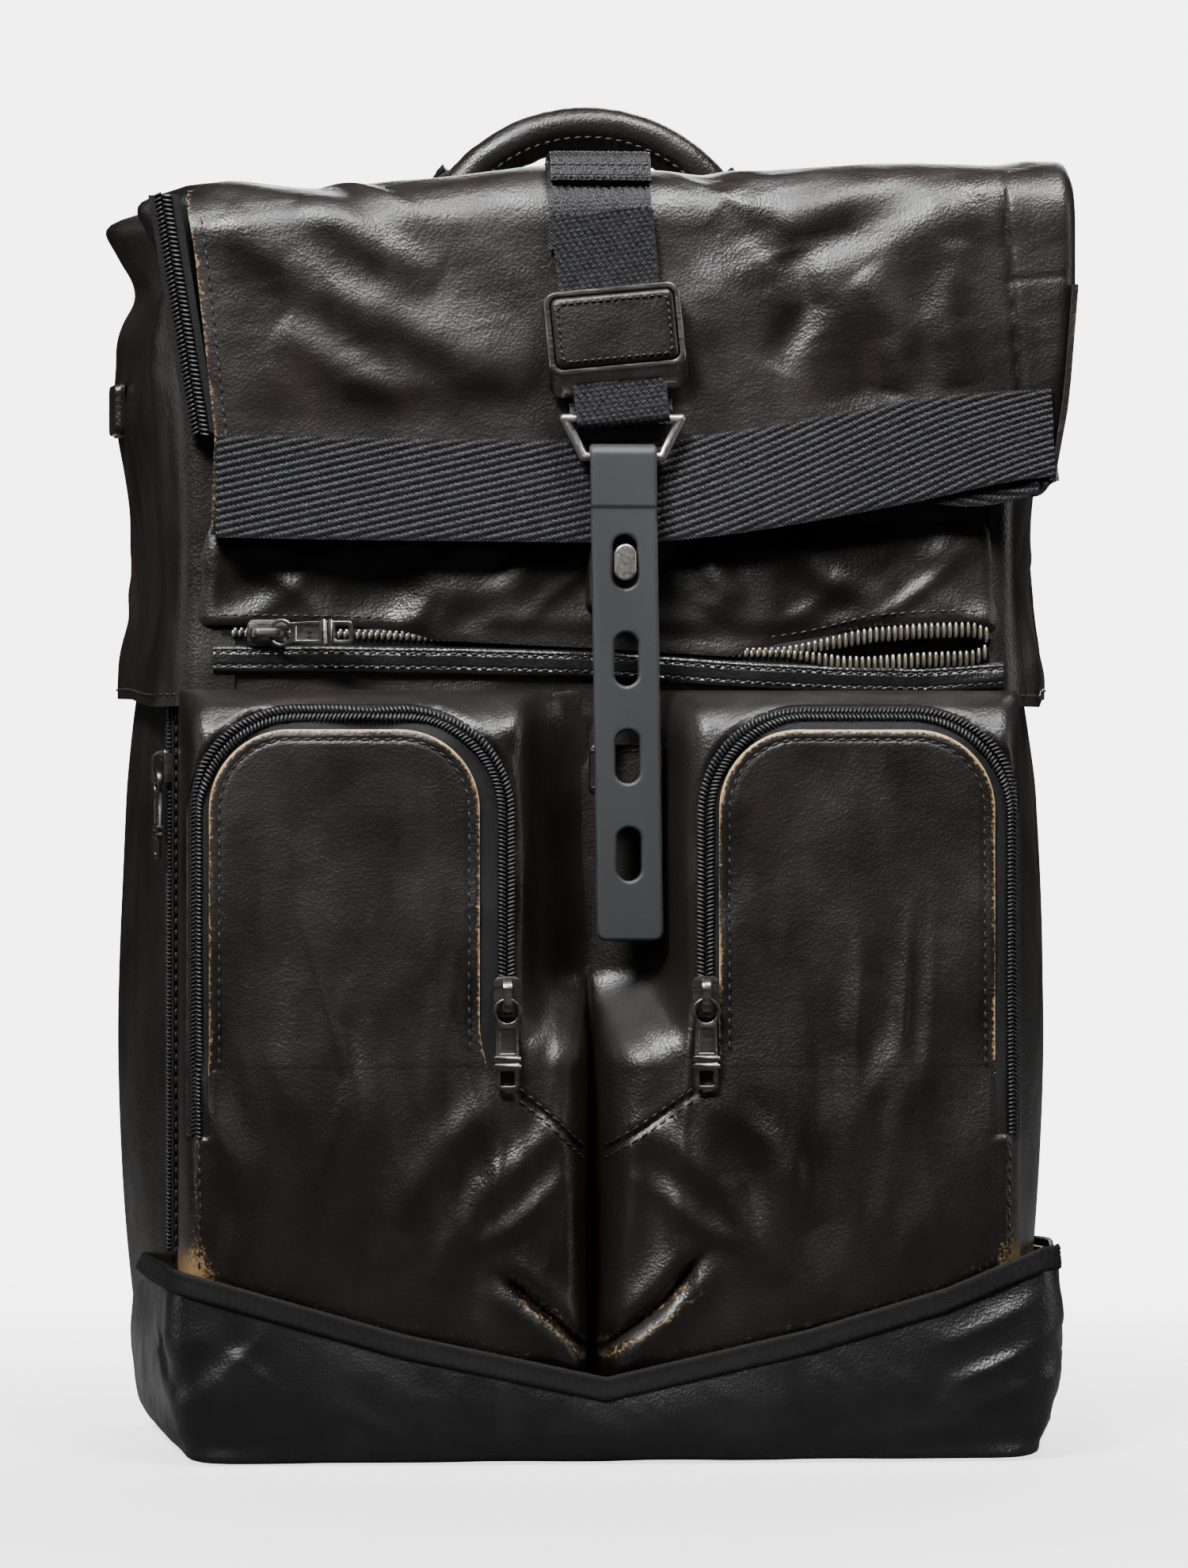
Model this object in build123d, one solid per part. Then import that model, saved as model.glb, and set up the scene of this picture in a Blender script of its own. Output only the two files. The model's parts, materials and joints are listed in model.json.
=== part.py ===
"""Roll-top leather backpack, modelled as it is sewn and assembled. Millimetres.

Frame: origin on the floor under the middle of the main body, +X to the right as seen from the front,
+Y towards the wearer's back (the back panel), +Z up. The bag stands on its base boot.
"""

from build123d import *
import math
import os

# ---- main body ----
FRONT_HALF, BACK_HALF = 155.0, 176.0  # half widths of the body at its front and back faces
FRONT_Y, BACK_Y = -65.0, 65.0
FRONT_CORNER_R, BACK_CORNER_R = 10.0, 22.0
LEATHER = 3.0  # leather with its backing
WALL_FOOT, WALL_TOP = 14.0, 455.0
HEM_Z = 285.0  # seam between the loose upper side leather and the smooth lower side panel
FRONT_FLAT, BACK_FLAT = 144.0, 150.0  # half widths of the flat front wall and the flat back panel
BACK_TOP = 463.0
GAP = 0.1  # seam clearance between neighbouring pieces

# ---- base ----
BOOT_FRONT_Y, BOOT_BACK_Y = -104.0, 68.3
BOOT_FRONT_HALF, BOOT_BACK_HALF = 161.0, 180.0
BOOT_SIDE_Z, BOOT_BEND_Z, BOOT_MID_Z = 68.0, 45.0, 29.0  # boot edge at the sides, part way, and middle
BOOT_BEND_X = 74.0
BOOT_ROUND = 12.0
TAPE_ABOVE, TAPE_BELOW, TAPE_T = 3.0, 5.0, 1.6

# ---- front pockets ----
POCKET_FACE_Y = -103.0
POCKET_HALF = 160.0
POCKET_TOP = 284.0
POCKET_T = 2.5
POCKET_MERGE_Z = 160.0  # below this the two pockets meet in the middle
DOOR_IN, DOOR_OUT, DOOR_FOOT, DOOR_TOP, DOOR_R = 42.0, 145.0, 142.0, 270.5, 32.0
ZIP_RUN = 5.5  # from a door's edge to the middle of its zip
TAPE_EDGE = 10.6  # from a door's edge to the outer edge of the zip tape
POCKET_SLIDER_Z = 172.0
OUTER_LEG_Z = 121.0

# ---- zips ----
STRAND_IN, STRAND_OUT, STRAND_H = 0.8, 3.4, 2.2
ZIP_TAPE_T = 0.6
FRONT_ZIP_Z, FRONT_ZIP_HALF = 306.0, 141.0
FRONT_SLIDER_X = -124.0
SIDE_ZIP_Y, SIDE_ZIP_LOW, SIDE_ZIP_HIGH, SIDE_SLIDER_Z = -46.0, 76.0, 276.0, 256.0
PULL_T, PULL_REACH = 1.8, 33.0
PULL_HINGE_Y, PULL_HINGE_Z = -1.0, 6.1  # the eye's top arc, where the pull turns in the bail
FRONT_PULL_LIFT = 22.0  # the front zip's pull rests standing a little out from the bag

# ---- roll top ----
FOLD_Z, FOLD_R = 468.0, 7.0  # height of both fold lines, and the inner radius of each fold
CROWN_BACK_Y, CROWN_FRONT_Y = 56.0, -60.0  # the two fold lines
CROWN_T, FLAP_T = 6.0, 12.0
FLAP_LEFT, FLAP_RIGHT = -152.0, 168.0
FLAP_FOOT, FLAP_RISE = 342.0, 16.0  # foot of the flap, and how far its right end rises
BAND_T = 1.9

# ---- closure ----
CLOSURE_X, CLOSURE_SHIFT = 7.2, -8.2  # centre at the ring, and drift of the webbing's top end
WEB, WEB_T = 38.0, 2.0
WEB_BACK_Y = -81.6
RING_TOP_Y, RING_TOP_Z, RING_TOP_HALF = -86.2, 385.0, 21.6
RING_FOOT_Y, RING_FOOT_Z, RING_FOOT_HALF = -86.3, 371.0, 14.6
RING_R, EYE_HOLE, EYE_R = 1.8, 2.1, 4.2
STRAP_W, STRAP_T, STRAP_BACK_Y, STRAP_FOOT, STRAP_LEAN = 24.5, 3.2, -87.3, 192.0, 2.6
SLOT_W, SLOT_L, SLOT_PITCH, FIRST_SLOT_Z = 9.0, 19.6, 36.0, 332.0
STUD_W, STUD_L, STUD_Z = 8.2, 13.6, 331.8
FRAME_W, FRAME_H, FRAME_Z = 52.0, 31.0, 414.0  # the buckle's face, and the height of its middle
FRAME_RISE, FRAME_SKIRT = 4.0, 4.5  # the face sits above the middle, and the lower side slopes out
FRAME_FRONT_Y = -91.0

# ---- back ----
PAD_T = 8.0
YOKE_LOW, YOKE_HIGH, YOKE_HALF = 412.0, 458.0, 105.0
STRAP_PAD_Y, STRAP_PAD_T = 76.0, 12.0
STRAP_HIGH_Z, STRAP_LOW_Z, STRAP_HIGH_X, STRAP_LOW_X = 434.0, 165.0, 66.0, 89.0
TAIL_HIGH_Z, TAIL_LOW_Z, TAIL_X = 146.0, 62.0, 156.0
HANDLE_Y, HANDLE_PIVOT_Z = 80.0, 466.0
GRIP_HALF, GRIP_END_Z, GRIP_TOP_Z, GRIP_R = 52.0, 481.0, 509.0, 6.8


def block(x0, x1, y0, y1, z0, z1):
    """An upright box between two corners."""
    return Pos((x0 + x1) / 2, (y0 + y1) / 2, (z0 + z1) / 2) * Box(x1 - x0, y1 - y0, z1 - z0)


def facing_front(y):
    """A plane facing the front at depth y: local x is +X, local y is +Z."""
    return Plane(origin=(0, y, 0), x_dir=(1, 0, 0), z_dir=(0, -1, 0))


def slab(face, y_front, y_back):
    """An outline in X and Z given thickness between two depths."""
    return extrude(facing_front(y_back) * face, y_back - y_front)


def across(face, x0, x1):
    """An outline in Y and Z drawn out from x0 to x1."""
    return extrude(Plane(origin=(x0, 0, 0), x_dir=(0, 1, 0), z_dir=(1, 0, 0)) * face, x1 - x0)


def shape(*points):
    """A flat outline through some points, given in either direction round."""
    turn = sum(p[0] * q[1] - q[0] * p[1] for p, q in zip(points, points[1:] + points[:1]))
    return Polygon(*(points if turn > 0 else points[::-1]), align=None)


def rect(u0, u1, v0, v1):
    """A flat rectangle between two corners."""
    return Pos((u0 + u1) / 2, (v0 + v1) / 2) * Rectangle(u1 - u0, v1 - v0)


def rounded(u0, u1, v0, v1, r):
    """A flat rectangle with rounded corners."""
    return Pos((u0 + u1) / 2, (v0 + v1) / 2) * RectangleRounded(u1 - u0, v1 - v0, r)


def mirrored(part):
    """The opposite-hand copy, across the bag's middle plane."""
    return mirror(part, Plane.YZ)


def pair(part):
    """A piece and its opposite-hand twin."""
    return Compound(children=[*part.solids(), *mirrored(part).solids()])


# ---- main body ----


def body_outline(grow=0.0):
    """The body's plan: wider at the back than at the front."""
    corners = [(-FRONT_HALF, FRONT_Y), (FRONT_HALF, FRONT_Y), (BACK_HALF, BACK_Y), (-BACK_HALF, BACK_Y)]
    face = shape(*corners)
    face = fillet([v for v in face.vertices() if v.Y < 0], FRONT_CORNER_R)
    face = fillet([v for v in face.vertices() if v.Y > BACK_Y - 1], BACK_CORNER_R)
    return offset(face, grow) if grow else face


def body_wall(z0, z1):
    """The leather shell of the body between two heights."""
    return Pos(0, 0, z0) * extrude(body_outline() - body_outline(-LEATHER), z1 - z0)


def front_wall():
    """Flat front leather, slit behind the front zip."""
    wall = body_wall(WALL_FOOT, WALL_TOP) & block(-FRONT_FLAT, FRONT_FLAT, -70, -50, 0, 500)
    slit = FRONT_ZIP_HALF - 7
    return wall - block(-slit, slit, -70, -50, FRONT_ZIP_Z - 1, FRONT_ZIP_Z + 1)


def back_panel():
    """Flat back leather, standing a little taller than the sides."""
    return block(-BACK_FLAT, BACK_FLAT, BACK_Y - LEATHER, BACK_Y, WALL_FOOT, BACK_TOP)


def right_side(z0, z1):
    """The right side wall, from the front wall's edge round to the back panel's edge."""
    f, b = FRONT_FLAT + GAP, BACK_FLAT + GAP
    zone = shape((f, -80), (200, -80), (200, 80), (b, 80), (b, 0), (f, 0))
    return body_wall(z0, z1) & Pos(0, 0, z0) * extrude(zone, z1 - z0)


def side_panel():
    """The smooth lower right side."""
    return right_side(WALL_FOOT, HEM_Z - GAP)


def gusset():
    """The loose upper right side that folds in under the roll top."""
    return right_side(HEM_Z + GAP, WALL_TOP)


def side_plane(y, lift=0.0):
    """A plane on the left side wall at depth y: local z points out of the bag, local y is +Z."""
    slope = (BACK_HALF - FRONT_HALF) / (BACK_Y - FRONT_Y)
    size = math.hypot(1.0, slope)
    x = -(FRONT_HALF + slope * (y - FRONT_Y))
    out = (-1.0 / size, -slope / size)
    origin = (x + out[0] * lift, y + out[1] * lift, 0)
    return Plane(origin=origin, x_dir=(slope / size, -1.0 / size, 0), z_dir=(out[0], out[1], 0))


def left_side_panel():
    """The lower left side, slit behind its zip."""
    slit = extrude(side_plane(SIDE_ZIP_Y, 2) * rect(-1, 1, SIDE_ZIP_LOW + 6, SIDE_ZIP_HIGH - 6), -8)
    return mirrored(side_panel()) - slit


def back_pad():
    """One tall foam pad of the back."""
    return slab(rounded(12, 122, 104, 400, 22), BACK_Y + GAP, BACK_Y + PAD_T)


def lumbar_pad():
    """The low cross pad of the back, above the boot."""
    return slab(rounded(-122, 122, 76, 98, 9), BACK_Y + GAP, BACK_Y + PAD_T)


# ---- base ----


def boot_outline(grow=0.0):
    """The boot's plan, reaching forward under the pockets."""
    front = [(-BOOT_FRONT_HALF, BOOT_FRONT_Y), (BOOT_FRONT_HALF, BOOT_FRONT_Y)]
    back = [(BOOT_BACK_HALF, BOOT_BACK_Y), (-BOOT_BACK_HALF, BOOT_BACK_Y)]
    face = shape(*front, *back)
    face = fillet([v for v in face.vertices() if v.Y < 0], 12)
    face = fillet([v for v in face.vertices() if v.Y > BOOT_BACK_Y - 1], 25)
    return offset(face, grow) if grow else face


def below_edge(lift):
    """Everything under the boot's edge line, which dips towards the middle of the front."""
    side, bend, mid = BOOT_SIDE_Z + lift, BOOT_BEND_Z + lift, BOOT_MID_Z + lift
    right = [(200, side), (BOOT_FRONT_HALF, side), (BOOT_BEND_X, bend)]
    left = [(-BOOT_BEND_X, bend), (-BOOT_FRONT_HALF, side)]
    top = right + [(0, mid)] + left
    face = shape((-200, -10), (200, -10), *top, (-200, side))
    return slab(face, -140, -60) + block(-200, 200, -60, 100, -10, side)


def base_boot():
    """The moulded leather tray the bag stands on."""
    outside = extrude(boot_outline(), BOOT_SIDE_Z + 1)
    outside = fillet(outside.faces().sort_by(Axis.Z)[0].edges(), BOOT_ROUND)
    inside = Pos(0, 0, LEATHER) * extrude(boot_outline(-LEATHER), BOOT_SIDE_Z + 1)
    inside = fillet(inside.faces().sort_by(Axis.Z)[0].edges(), BOOT_ROUND - LEATHER)
    return (outside - inside) & below_edge(0)


def base_tape():
    """Woven binding over the boot's top edge."""
    ring = extrude(boot_outline(TAPE_T + GAP) - boot_outline(GAP), BOOT_SIDE_Z + 10)
    return ring & (below_edge(TAPE_ABOVE) - below_edge(-TAPE_BELOW))


def base_board():
    """The stiffener lying on the boot's floor."""
    return Pos(0, 0, LEATHER + GAP) * extrude(body_outline(-9), 2.8)


# ---- inside ----


def main_lining():
    """The fabric bag inside the main compartment, open at the top."""
    outside = Pos(0, 0, 7) * extrude(body_outline(-LEATHER - 0.6), 438)
    inside = Pos(0, 0, 8) * extrude(body_outline(-LEATHER - 1.6), 438)
    return outside - inside


def frame_sheet():
    """Stiff plastic sheet standing against the back panel."""
    return slab(rounded(-135, 135, 16, 438, 20), 57.5, 59.5)


def laptop_divider():
    """Padded wall of the laptop sleeve."""
    return slab(rounded(-138, 138, 10, 372, 12), 30, 35)


# ---- front pockets (right hand) ----


def pocket_plan(merged, shrink):
    """Plan of one pocket: sloped towards the valley higher up, square to its neighbour lower down."""
    valley = [(2.5, -60), (2.5, FRONT_Y - GAP), (14, -70), (23.5, -80), (30, POCKET_FACE_Y)]
    square = [(2.5, -60), (2.5, -94), (11, POCKET_FACE_Y)]
    outline = square if merged else valley
    outer = [(POCKET_HALF, POCKET_FACE_Y), (POCKET_HALF, -60)]
    face = shape(*outline, *outer)
    face = fillet([v for v in face.vertices() if v.X > POCKET_HALF - 1 and v.Y < -100], 8)
    face = offset(face, -shrink) if shrink else face
    behind = FRONT_Y - GAP + (20 if shrink else 0)
    return face & rect(-10, 200, -120, behind)


def pocket_block(shrink):
    """Solid form of one pocket above the boot's edge."""
    low = extrude(pocket_plan(True, shrink), POCKET_MERGE_Z - shrink)
    high = Pos(0, 0, 20) * extrude(pocket_plan(False, shrink), POCKET_TOP - 20 - shrink)
    return (low + high) - below_edge(0.6 + shrink)


def door_shape(grow, foot):
    """Outline of a pocket door, rounded at its two top corners, grown outwards and cut at a foot height."""
    r = DOOR_R + grow
    face = rounded(DOOR_IN - grow, DOOR_OUT + grow, 20, DOOR_TOP + grow, r)
    return face & rect(0, 200, foot, 400)


def pocket():
    """One pocket's leather shell with the opening for its door."""
    shell = pocket_block(0) - pocket_block(POCKET_T)
    return shell - slab(door_shape(TAPE_EDGE, DOOR_FOOT - 0.3), -120, -97.5)


def pocket_door():
    """The leather door panel, sewn along its foot and zipped on its other three sides."""
    return slab(door_shape(0, DOOR_FOOT), POCKET_FACE_Y, POCKET_FACE_Y + POCKET_T)


def pocket_zip():
    """Coil zip round the door: its tape and the two meshed coils."""
    y = POCKET_FACE_Y + POCKET_T - ZIP_TAPE_T
    foot = DOOR_FOOT + 0.5
    tape = slab(door_shape(TAPE_EDGE - 0.3, foot) - door_shape(0.6, foot), y, y + ZIP_TAPE_T)
    inner = door_shape(ZIP_RUN - STRAND_IN, foot) - door_shape(ZIP_RUN - STRAND_OUT, foot)
    outer = door_shape(ZIP_RUN + STRAND_OUT - 0.8, foot) - door_shape(ZIP_RUN + STRAND_IN, foot)
    return tape + slab(inner, y - STRAND_H, y) + slab(outer, y - STRAND_H, y)


# ---- zip hardware ----


def slider(plane):
    """A zip slider riding over the coils, with the arched bail that holds the pull."""
    body = Pos(0, 0, 2.6) * extrude(RectangleRounded(9.8, 15, 2.6), 1.8)
    cheek = Pos(4.3, 0, 0.4) * extrude(RectangleRounded(1.2, 11, 0.5), 3.0)
    arch = SlotOverall(12.8, 7.4) & rect(-10, 10, -0.6, 10)
    hole = SlotOverall(8.0, 3.4) & rect(-10, 10, -10, 10)
    side = Plane(origin=(-1.6, 0, 5.0), x_dir=(0, 1, 0), z_dir=(1, 0, 0))
    window = Plane(origin=(-1.6, 0, 6.1), x_dir=(0, 1, 0), z_dir=(1, 0, 0))
    bail = extrude(side * arch, 3.2) + Pos(0, 0, 4.6) * Box(3.2, 12.8, 1.0)
    bail = bail - extrude(window * hole, 3.2)
    return plane * (body + cheek + mirror(cheek, Plane.YZ) + bail)


def pull(plane, lift=0.0):
    """A zip pull hung on its bail: round eye, ribbed flat tapered body, slotted end; lift swings it out."""
    eye_y, foot = -5.6, -PULL_REACH - 1
    eye = Pos(0, eye_y) * Circle(5.25)
    body = shape((-3.8, eye_y - 3), (3.8, eye_y - 3), (4.4, -25), (-4.4, -25))
    end = rounded(-4.2, 4.2, foot, -24, 1.6)
    slot = rounded(-2.7, 2.7, foot + 1.5, -27, 0.8)
    blank = eye + body + end - Pos(0, eye_y) * Circle(3.9) - slot
    plate = Pos(0, 0, 5.2) * extrude(blank, PULL_T)
    ribs = [Pos(0, y, 6.1) * Box(10.0, 1.5, 2.8) for y in (-22.6, -25.4)]
    panel = Pos(0, -16.2, 5.2 + PULL_T) * Box(5.6, 9.0, 0.5)
    plate = plate - panel
    hinge = Pos(0, PULL_HINGE_Y, PULL_HINGE_Z)
    return plane * hinge * Rot(-lift, 0, 0) * hinge.inverse() * (plate + ribs)


def zip_plane(x, y, z):
    """Plane of a vertical zip on a front face: out of the bag is local z, up is local y."""
    return Plane(origin=(x, y, z), x_dir=(1, 0, 0), z_dir=(0, -1, 0))


POCKET_ZIP_PLANE = zip_plane(DOOR_IN - ZIP_RUN, POCKET_FACE_Y + POCKET_T - ZIP_TAPE_T, POCKET_SLIDER_Z)
FRONT_ZIP_PLANE = Plane(
    origin=(FRONT_SLIDER_X, FRONT_Y - GAP - ZIP_TAPE_T, FRONT_ZIP_Z), x_dir=(0, 0, 1), z_dir=(0, -1, 0)
)


def side_zip_plane():
    """Plane of the side zip's slider."""
    plane = side_plane(SIDE_ZIP_Y, GAP + ZIP_TAPE_T)
    return Plane(origin=plane.origin + Vector(0, 0, SIDE_SLIDER_Z), x_dir=plane.x_dir, z_dir=plane.z_dir)


def front_zip_tape():
    """Woven tape of the front zip."""
    outline = rect(-FRONT_ZIP_HALF, FRONT_ZIP_HALF, FRONT_ZIP_Z - 6.5, FRONT_ZIP_Z + 6.5)
    slit = rect(-FRONT_ZIP_HALF + 6, FRONT_ZIP_HALF - 6, FRONT_ZIP_Z - 0.4, FRONT_ZIP_Z + 0.4)
    return slab(outline - slit, FRONT_Y - GAP - ZIP_TAPE_T, FRONT_Y - GAP)


def front_zip_teeth():
    """The two rows of metal teeth, each as one bar along its tape edge."""
    half, y = FRONT_ZIP_HALF - 4, FRONT_Y - 2 * GAP - ZIP_TAPE_T
    upper = rect(-half, half, FRONT_ZIP_Z + STRAND_IN, FRONT_ZIP_Z + STRAND_OUT)
    lower = rect(-half, half, FRONT_ZIP_Z - STRAND_OUT, FRONT_ZIP_Z - STRAND_IN)
    rows = [slab(upper, y - STRAND_H + 0.2, y), slab(lower, y - STRAND_H + 0.2, y)]
    return Compound(children=[row.solid() for row in rows])


def front_zip_welt():
    """Doubled leather welt sewn just below the front zip."""
    welt = slab(rounded(-FRONT_FLAT + 1, FRONT_FLAT - 1, 287, 297.5, 2), FRONT_Y - GAP - 2.4, FRONT_Y - GAP)
    return fillet(welt.faces().sort_by(Axis.Y)[0].edges(), 1.0)


def side_zip():
    """Coil zip down the left side: its tape and the two meshed coils."""
    plane = side_plane(SIDE_ZIP_Y, GAP)
    low, high = SIDE_ZIP_LOW, SIDE_ZIP_HIGH
    tape = extrude(plane * rect(-8, 8, low, high), ZIP_TAPE_T)
    ridge = side_plane(SIDE_ZIP_Y, GAP + ZIP_TAPE_T)
    left = extrude(ridge * rect(-STRAND_OUT, -STRAND_IN, low + 3, high - 3), STRAND_H)
    right = extrude(ridge * rect(STRAND_IN, STRAND_OUT, low + 3, high - 3), STRAND_H)
    return tape + left + right


# ---- roll top ----


def crown_panel():
    """The roll top's upper panel, lying over the bag's mouth."""
    z = FOLD_Z + FOLD_R
    panel = block(FLAP_LEFT - 1, FLAP_RIGHT - 2, CROWN_FRONT_Y + 0.5, CROWN_BACK_Y, z, z + CROWN_T)
    return fillet(panel.edges().filter_by(Axis.Y), 2.5)


def crown_webbing():
    """Closure webbing running over the top of the roll top."""
    z = FOLD_Z + FOLD_R + CROWN_T + GAP
    x = CLOSURE_X + CLOSURE_SHIFT
    return block(x - WEB / 2, x + WEB / 2, CROWN_FRONT_Y + 0.5, CROWN_BACK_Y - 6, z, z + WEB_T)


def risen(low, high, left, right):
    """An outline in X and Z whose foot is level on the left and climbs towards the right end."""
    bend = 5.0
    corners = [(left, low), (bend, low), (right, low + FLAP_RISE), (right, high), (left, high)]
    return shape(*corners)


def flap_panel():
    """The folded front of the roll top, several plies thick."""
    y = CROWN_FRONT_Y - FOLD_R
    panel = slab(risen(FLAP_FOOT, FOLD_Z - 0.5, FLAP_LEFT, FLAP_RIGHT), y - FLAP_T, y)
    ends = panel.edges().filter_by(Axis.Z)
    return fillet(ends, 3.0)


def flap_band():
    """Broad webbing along the flap's foot."""
    y = CROWN_FRONT_Y - FOLD_R - FLAP_T - GAP
    low = FLAP_FOOT - 2.0
    left, bend, right = FLAP_LEFT + 8, 5, FLAP_RIGHT + 2
    foot = [(left, low), (bend, low), (right, low + FLAP_RISE)]
    head = [(right, low + WEB - 2 + FLAP_RISE), (bend, low + WEB), (left, low + WEB)]
    return slab(shape(*foot, *head), y - BAND_T, y)


def flap_zip():
    """Coil zip down the flap's left edge: tape behind, one coil in front of it."""
    y = CROWN_FRONT_Y - FOLD_R - 4.0
    x = FLAP_LEFT - GAP
    tape = block(x - 11, x, y - ZIP_TAPE_T, y, 384, FOLD_Z - 1)
    return tape + block(x - 8, x - 2.5, y - ZIP_TAPE_T - STRAND_H, y - ZIP_TAPE_T, 384, FOLD_Z - 1)


# ---- closure ----


def rod(p, q, r):
    """A round bar between two points with rounded ends."""
    start, end = Vector(*p), Vector(*q)
    bar = Solid.make_cylinder(r, (end - start).length, Plane(origin=start, z_dir=end - start))
    return bar + Pos(*p) * Sphere(r) + Pos(*q) * Sphere(r)


def eyed_ply(front_y, back_y, foot_z, top_z, eye_y, eye_z):
    """Side profile of a flat ply that ends in an eye round a bar."""
    ply = rect(back_y, front_y, foot_z, top_z) + Pos(eye_y, eye_z) * Circle(EYE_R)
    return ply - Pos(eye_y, eye_z) * Circle(EYE_HOLE)


def closure_webbing():
    """Webbing over the flap's front, ending in an eye round the ring's top bar."""
    back = WEB_BACK_Y
    profile = eyed_ply(back, back - WEB_T, RING_TOP_Z, FOLD_Z - 0.5, RING_TOP_Y, RING_TOP_Z)
    blank = across(profile, -60, 60)
    half, eye_half, low = WEB / 2, WEB / 2 - 2, RING_TOP_Z - 10
    x, drift = CLOSURE_X, CLOSURE_SHIFT
    right = [(x + eye_half, low), (x + eye_half, RING_TOP_Z + 5), (x + half, RING_TOP_Z + 9)]
    top = [(x + half + drift, FOLD_Z), (x - half + drift, FOLD_Z)]
    left = [(x - half, RING_TOP_Z + 9), (x - eye_half, RING_TOP_Z + 5), (x - eye_half, low)]
    outline = shape(*right, *top, *left)
    return blank & slab(outline, -100, -70)


def frame_place():
    """Where the buckle sits on the leaning webbing: an upright plane turned with the webbing."""
    share = (FRAME_Z - RING_TOP_Z) / (FOLD_Z - RING_TOP_Z)
    lean = math.degrees(math.atan2(-CLOSURE_SHIFT, FOLD_Z - RING_TOP_Z))
    return Location((CLOSURE_X + CLOSURE_SHIFT * share, 0, FRAME_Z)), lean


def turned(part):
    """A buckle piece, drawn about the origin, set in place on the webbing."""
    spot, lean = frame_place()
    return spot * Rot(0, -lean, 0) * part


def buckle_frame():
    """Cast frame: a deep front plate with a tray for the inlay, and a bar behind the webbing."""
    front, face = FRAME_FRONT_Y, WEB_BACK_Y - WEB_T - 0.5
    small = facing_front(front) * Pos(0, FRAME_RISE) * RectangleRounded(FRAME_W - 1.5, FRAME_H, 4.5)
    tall = FRAME_H + 2 * FRAME_SKIRT
    middle = facing_front(face) * Pos(0, FRAME_RISE - FRAME_SKIRT + 0.5)
    large = middle * RectangleRounded(FRAME_W, tall - 1, 5.5)
    plate = loft([small, large])
    plate = chamfer(plate.faces().sort_by(Axis.Y)[0].edges(), 0.5)
    opening = Pos(0, FRAME_RISE) * RectangleRounded(FRAME_W - 5.5, FRAME_H - 4.0, 3.0)
    tray = slab(opening, front - 1, front + 2.4)
    cheek = block(WEB / 2 + 0.8, FRAME_W / 2 - 0.6, face - 1, WEB_BACK_Y + 2.2, -9, 9)
    bar = block(-FRAME_W / 2 + 0.6, FRAME_W / 2 - 0.6, WEB_BACK_Y + 0.5, WEB_BACK_Y + 2.2, -9, 9)
    return turned(plate - tray + cheek + mirrored(cheek) + bar)


def buckle_inlay():
    """Leather panel laid in the buckle's tray."""
    outline = Pos(0, FRAME_RISE) * RectangleRounded(FRAME_W - 5.9, FRAME_H - 4.4, 2.8)
    panel = slab(outline, FRAME_FRONT_Y - 0.1, FRAME_FRONT_Y + 2.3)
    return turned(fillet(panel.faces().sort_by(Axis.Y)[0].edges(), 0.8))


def strap_ring():
    """Wire ring, wide at the top for the webbing and narrow at the foot for the strap."""
    top = [(CLOSURE_X + s * RING_TOP_HALF, RING_TOP_Y, RING_TOP_Z) for s in (-1, 1)]
    foot = [(CLOSURE_X + s * RING_FOOT_HALF, RING_FOOT_Y, RING_FOOT_Z) for s in (1, -1)]
    corners = [*top, *foot]
    ring = rod(corners[3], corners[0], RING_R)
    for p, q in zip(corners, corners[1:]):
        ring += rod(p, q, RING_R)
    return ring


def strap_centre(z):
    """Centre line of the rubber strap, which leans a little to the right as it hangs."""
    return CLOSURE_X + STRAP_LEAN * (RING_FOOT_Z - z) / (RING_FOOT_Z - STRAP_FOOT)


def rubber_strap():
    """Slotted rubber strap hanging from the ring by an eye."""
    back = STRAP_BACK_Y
    profile = eyed_ply(back, back - STRAP_T, STRAP_FOOT, RING_FOOT_Z - 1, RING_FOOT_Y, RING_FOOT_Z)
    blank = across(profile, -60, 60)
    half, high = STRAP_W / 2, RING_FOOT_Z + 8
    foot_x = strap_centre(STRAP_FOOT)
    level = RING_FOOT_Z - EYE_R - 1
    sides = [(CLOSURE_X + half, level), (CLOSURE_X + half, high), (CLOSURE_X - half, high)]
    end = [(CLOSURE_X - half, level), (foot_x - half, STRAP_FOOT + 5), (foot_x - half + 5, STRAP_FOOT)]
    outline = shape((foot_x + half - 5, STRAP_FOOT), (foot_x + half, STRAP_FOOT + 5), *sides, *end)
    strap = blank & slab(outline, -110, -70)
    for i in range(4):
        z = FIRST_SLOT_Z - SLOT_PITCH * i
        slot = Pos(strap_centre(z), z) * SlotOverall(SLOT_L, SLOT_W, rotation=90)
        strap -= slab(slot, -110, -70)
    return strap


def front_placket():
    """Built-up leather strip on the front wall that carries the stud."""
    x = strap_centre(STUD_Z)
    return slab(rounded(x - 13.5, x + 13.5, 314.5, 339.2, 1.5), -76, FRONT_Y - GAP)


def strap_stud():
    """Pill-headed stud that the strap's slots hook over."""
    x = strap_centre(STUD_Z)
    neck = slab(Pos(x, STUD_Z) * SlotOverall(STUD_L - 2.6, 5.6, rotation=90), -91, -76 - GAP)
    head = slab(Pos(x, STUD_Z) * SlotOverall(STUD_L, STUD_W, rotation=90), -92.9, -90.9)
    return neck + fillet(head.faces().sort_by(Axis.Y)[0].edges(), 0.9)


def keeper_tab():
    """Small leather tab behind the strap, on a folded stem between the pockets."""
    x = strap_centre(256)
    stem = block(-1.6, 1.6, -82, FRONT_Y - GAP, 248, 263)
    return slab(rounded(x - 14, x + 14, 246, 265, 2), -83.4, -81) + stem


# ---- back hardware ----


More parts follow.
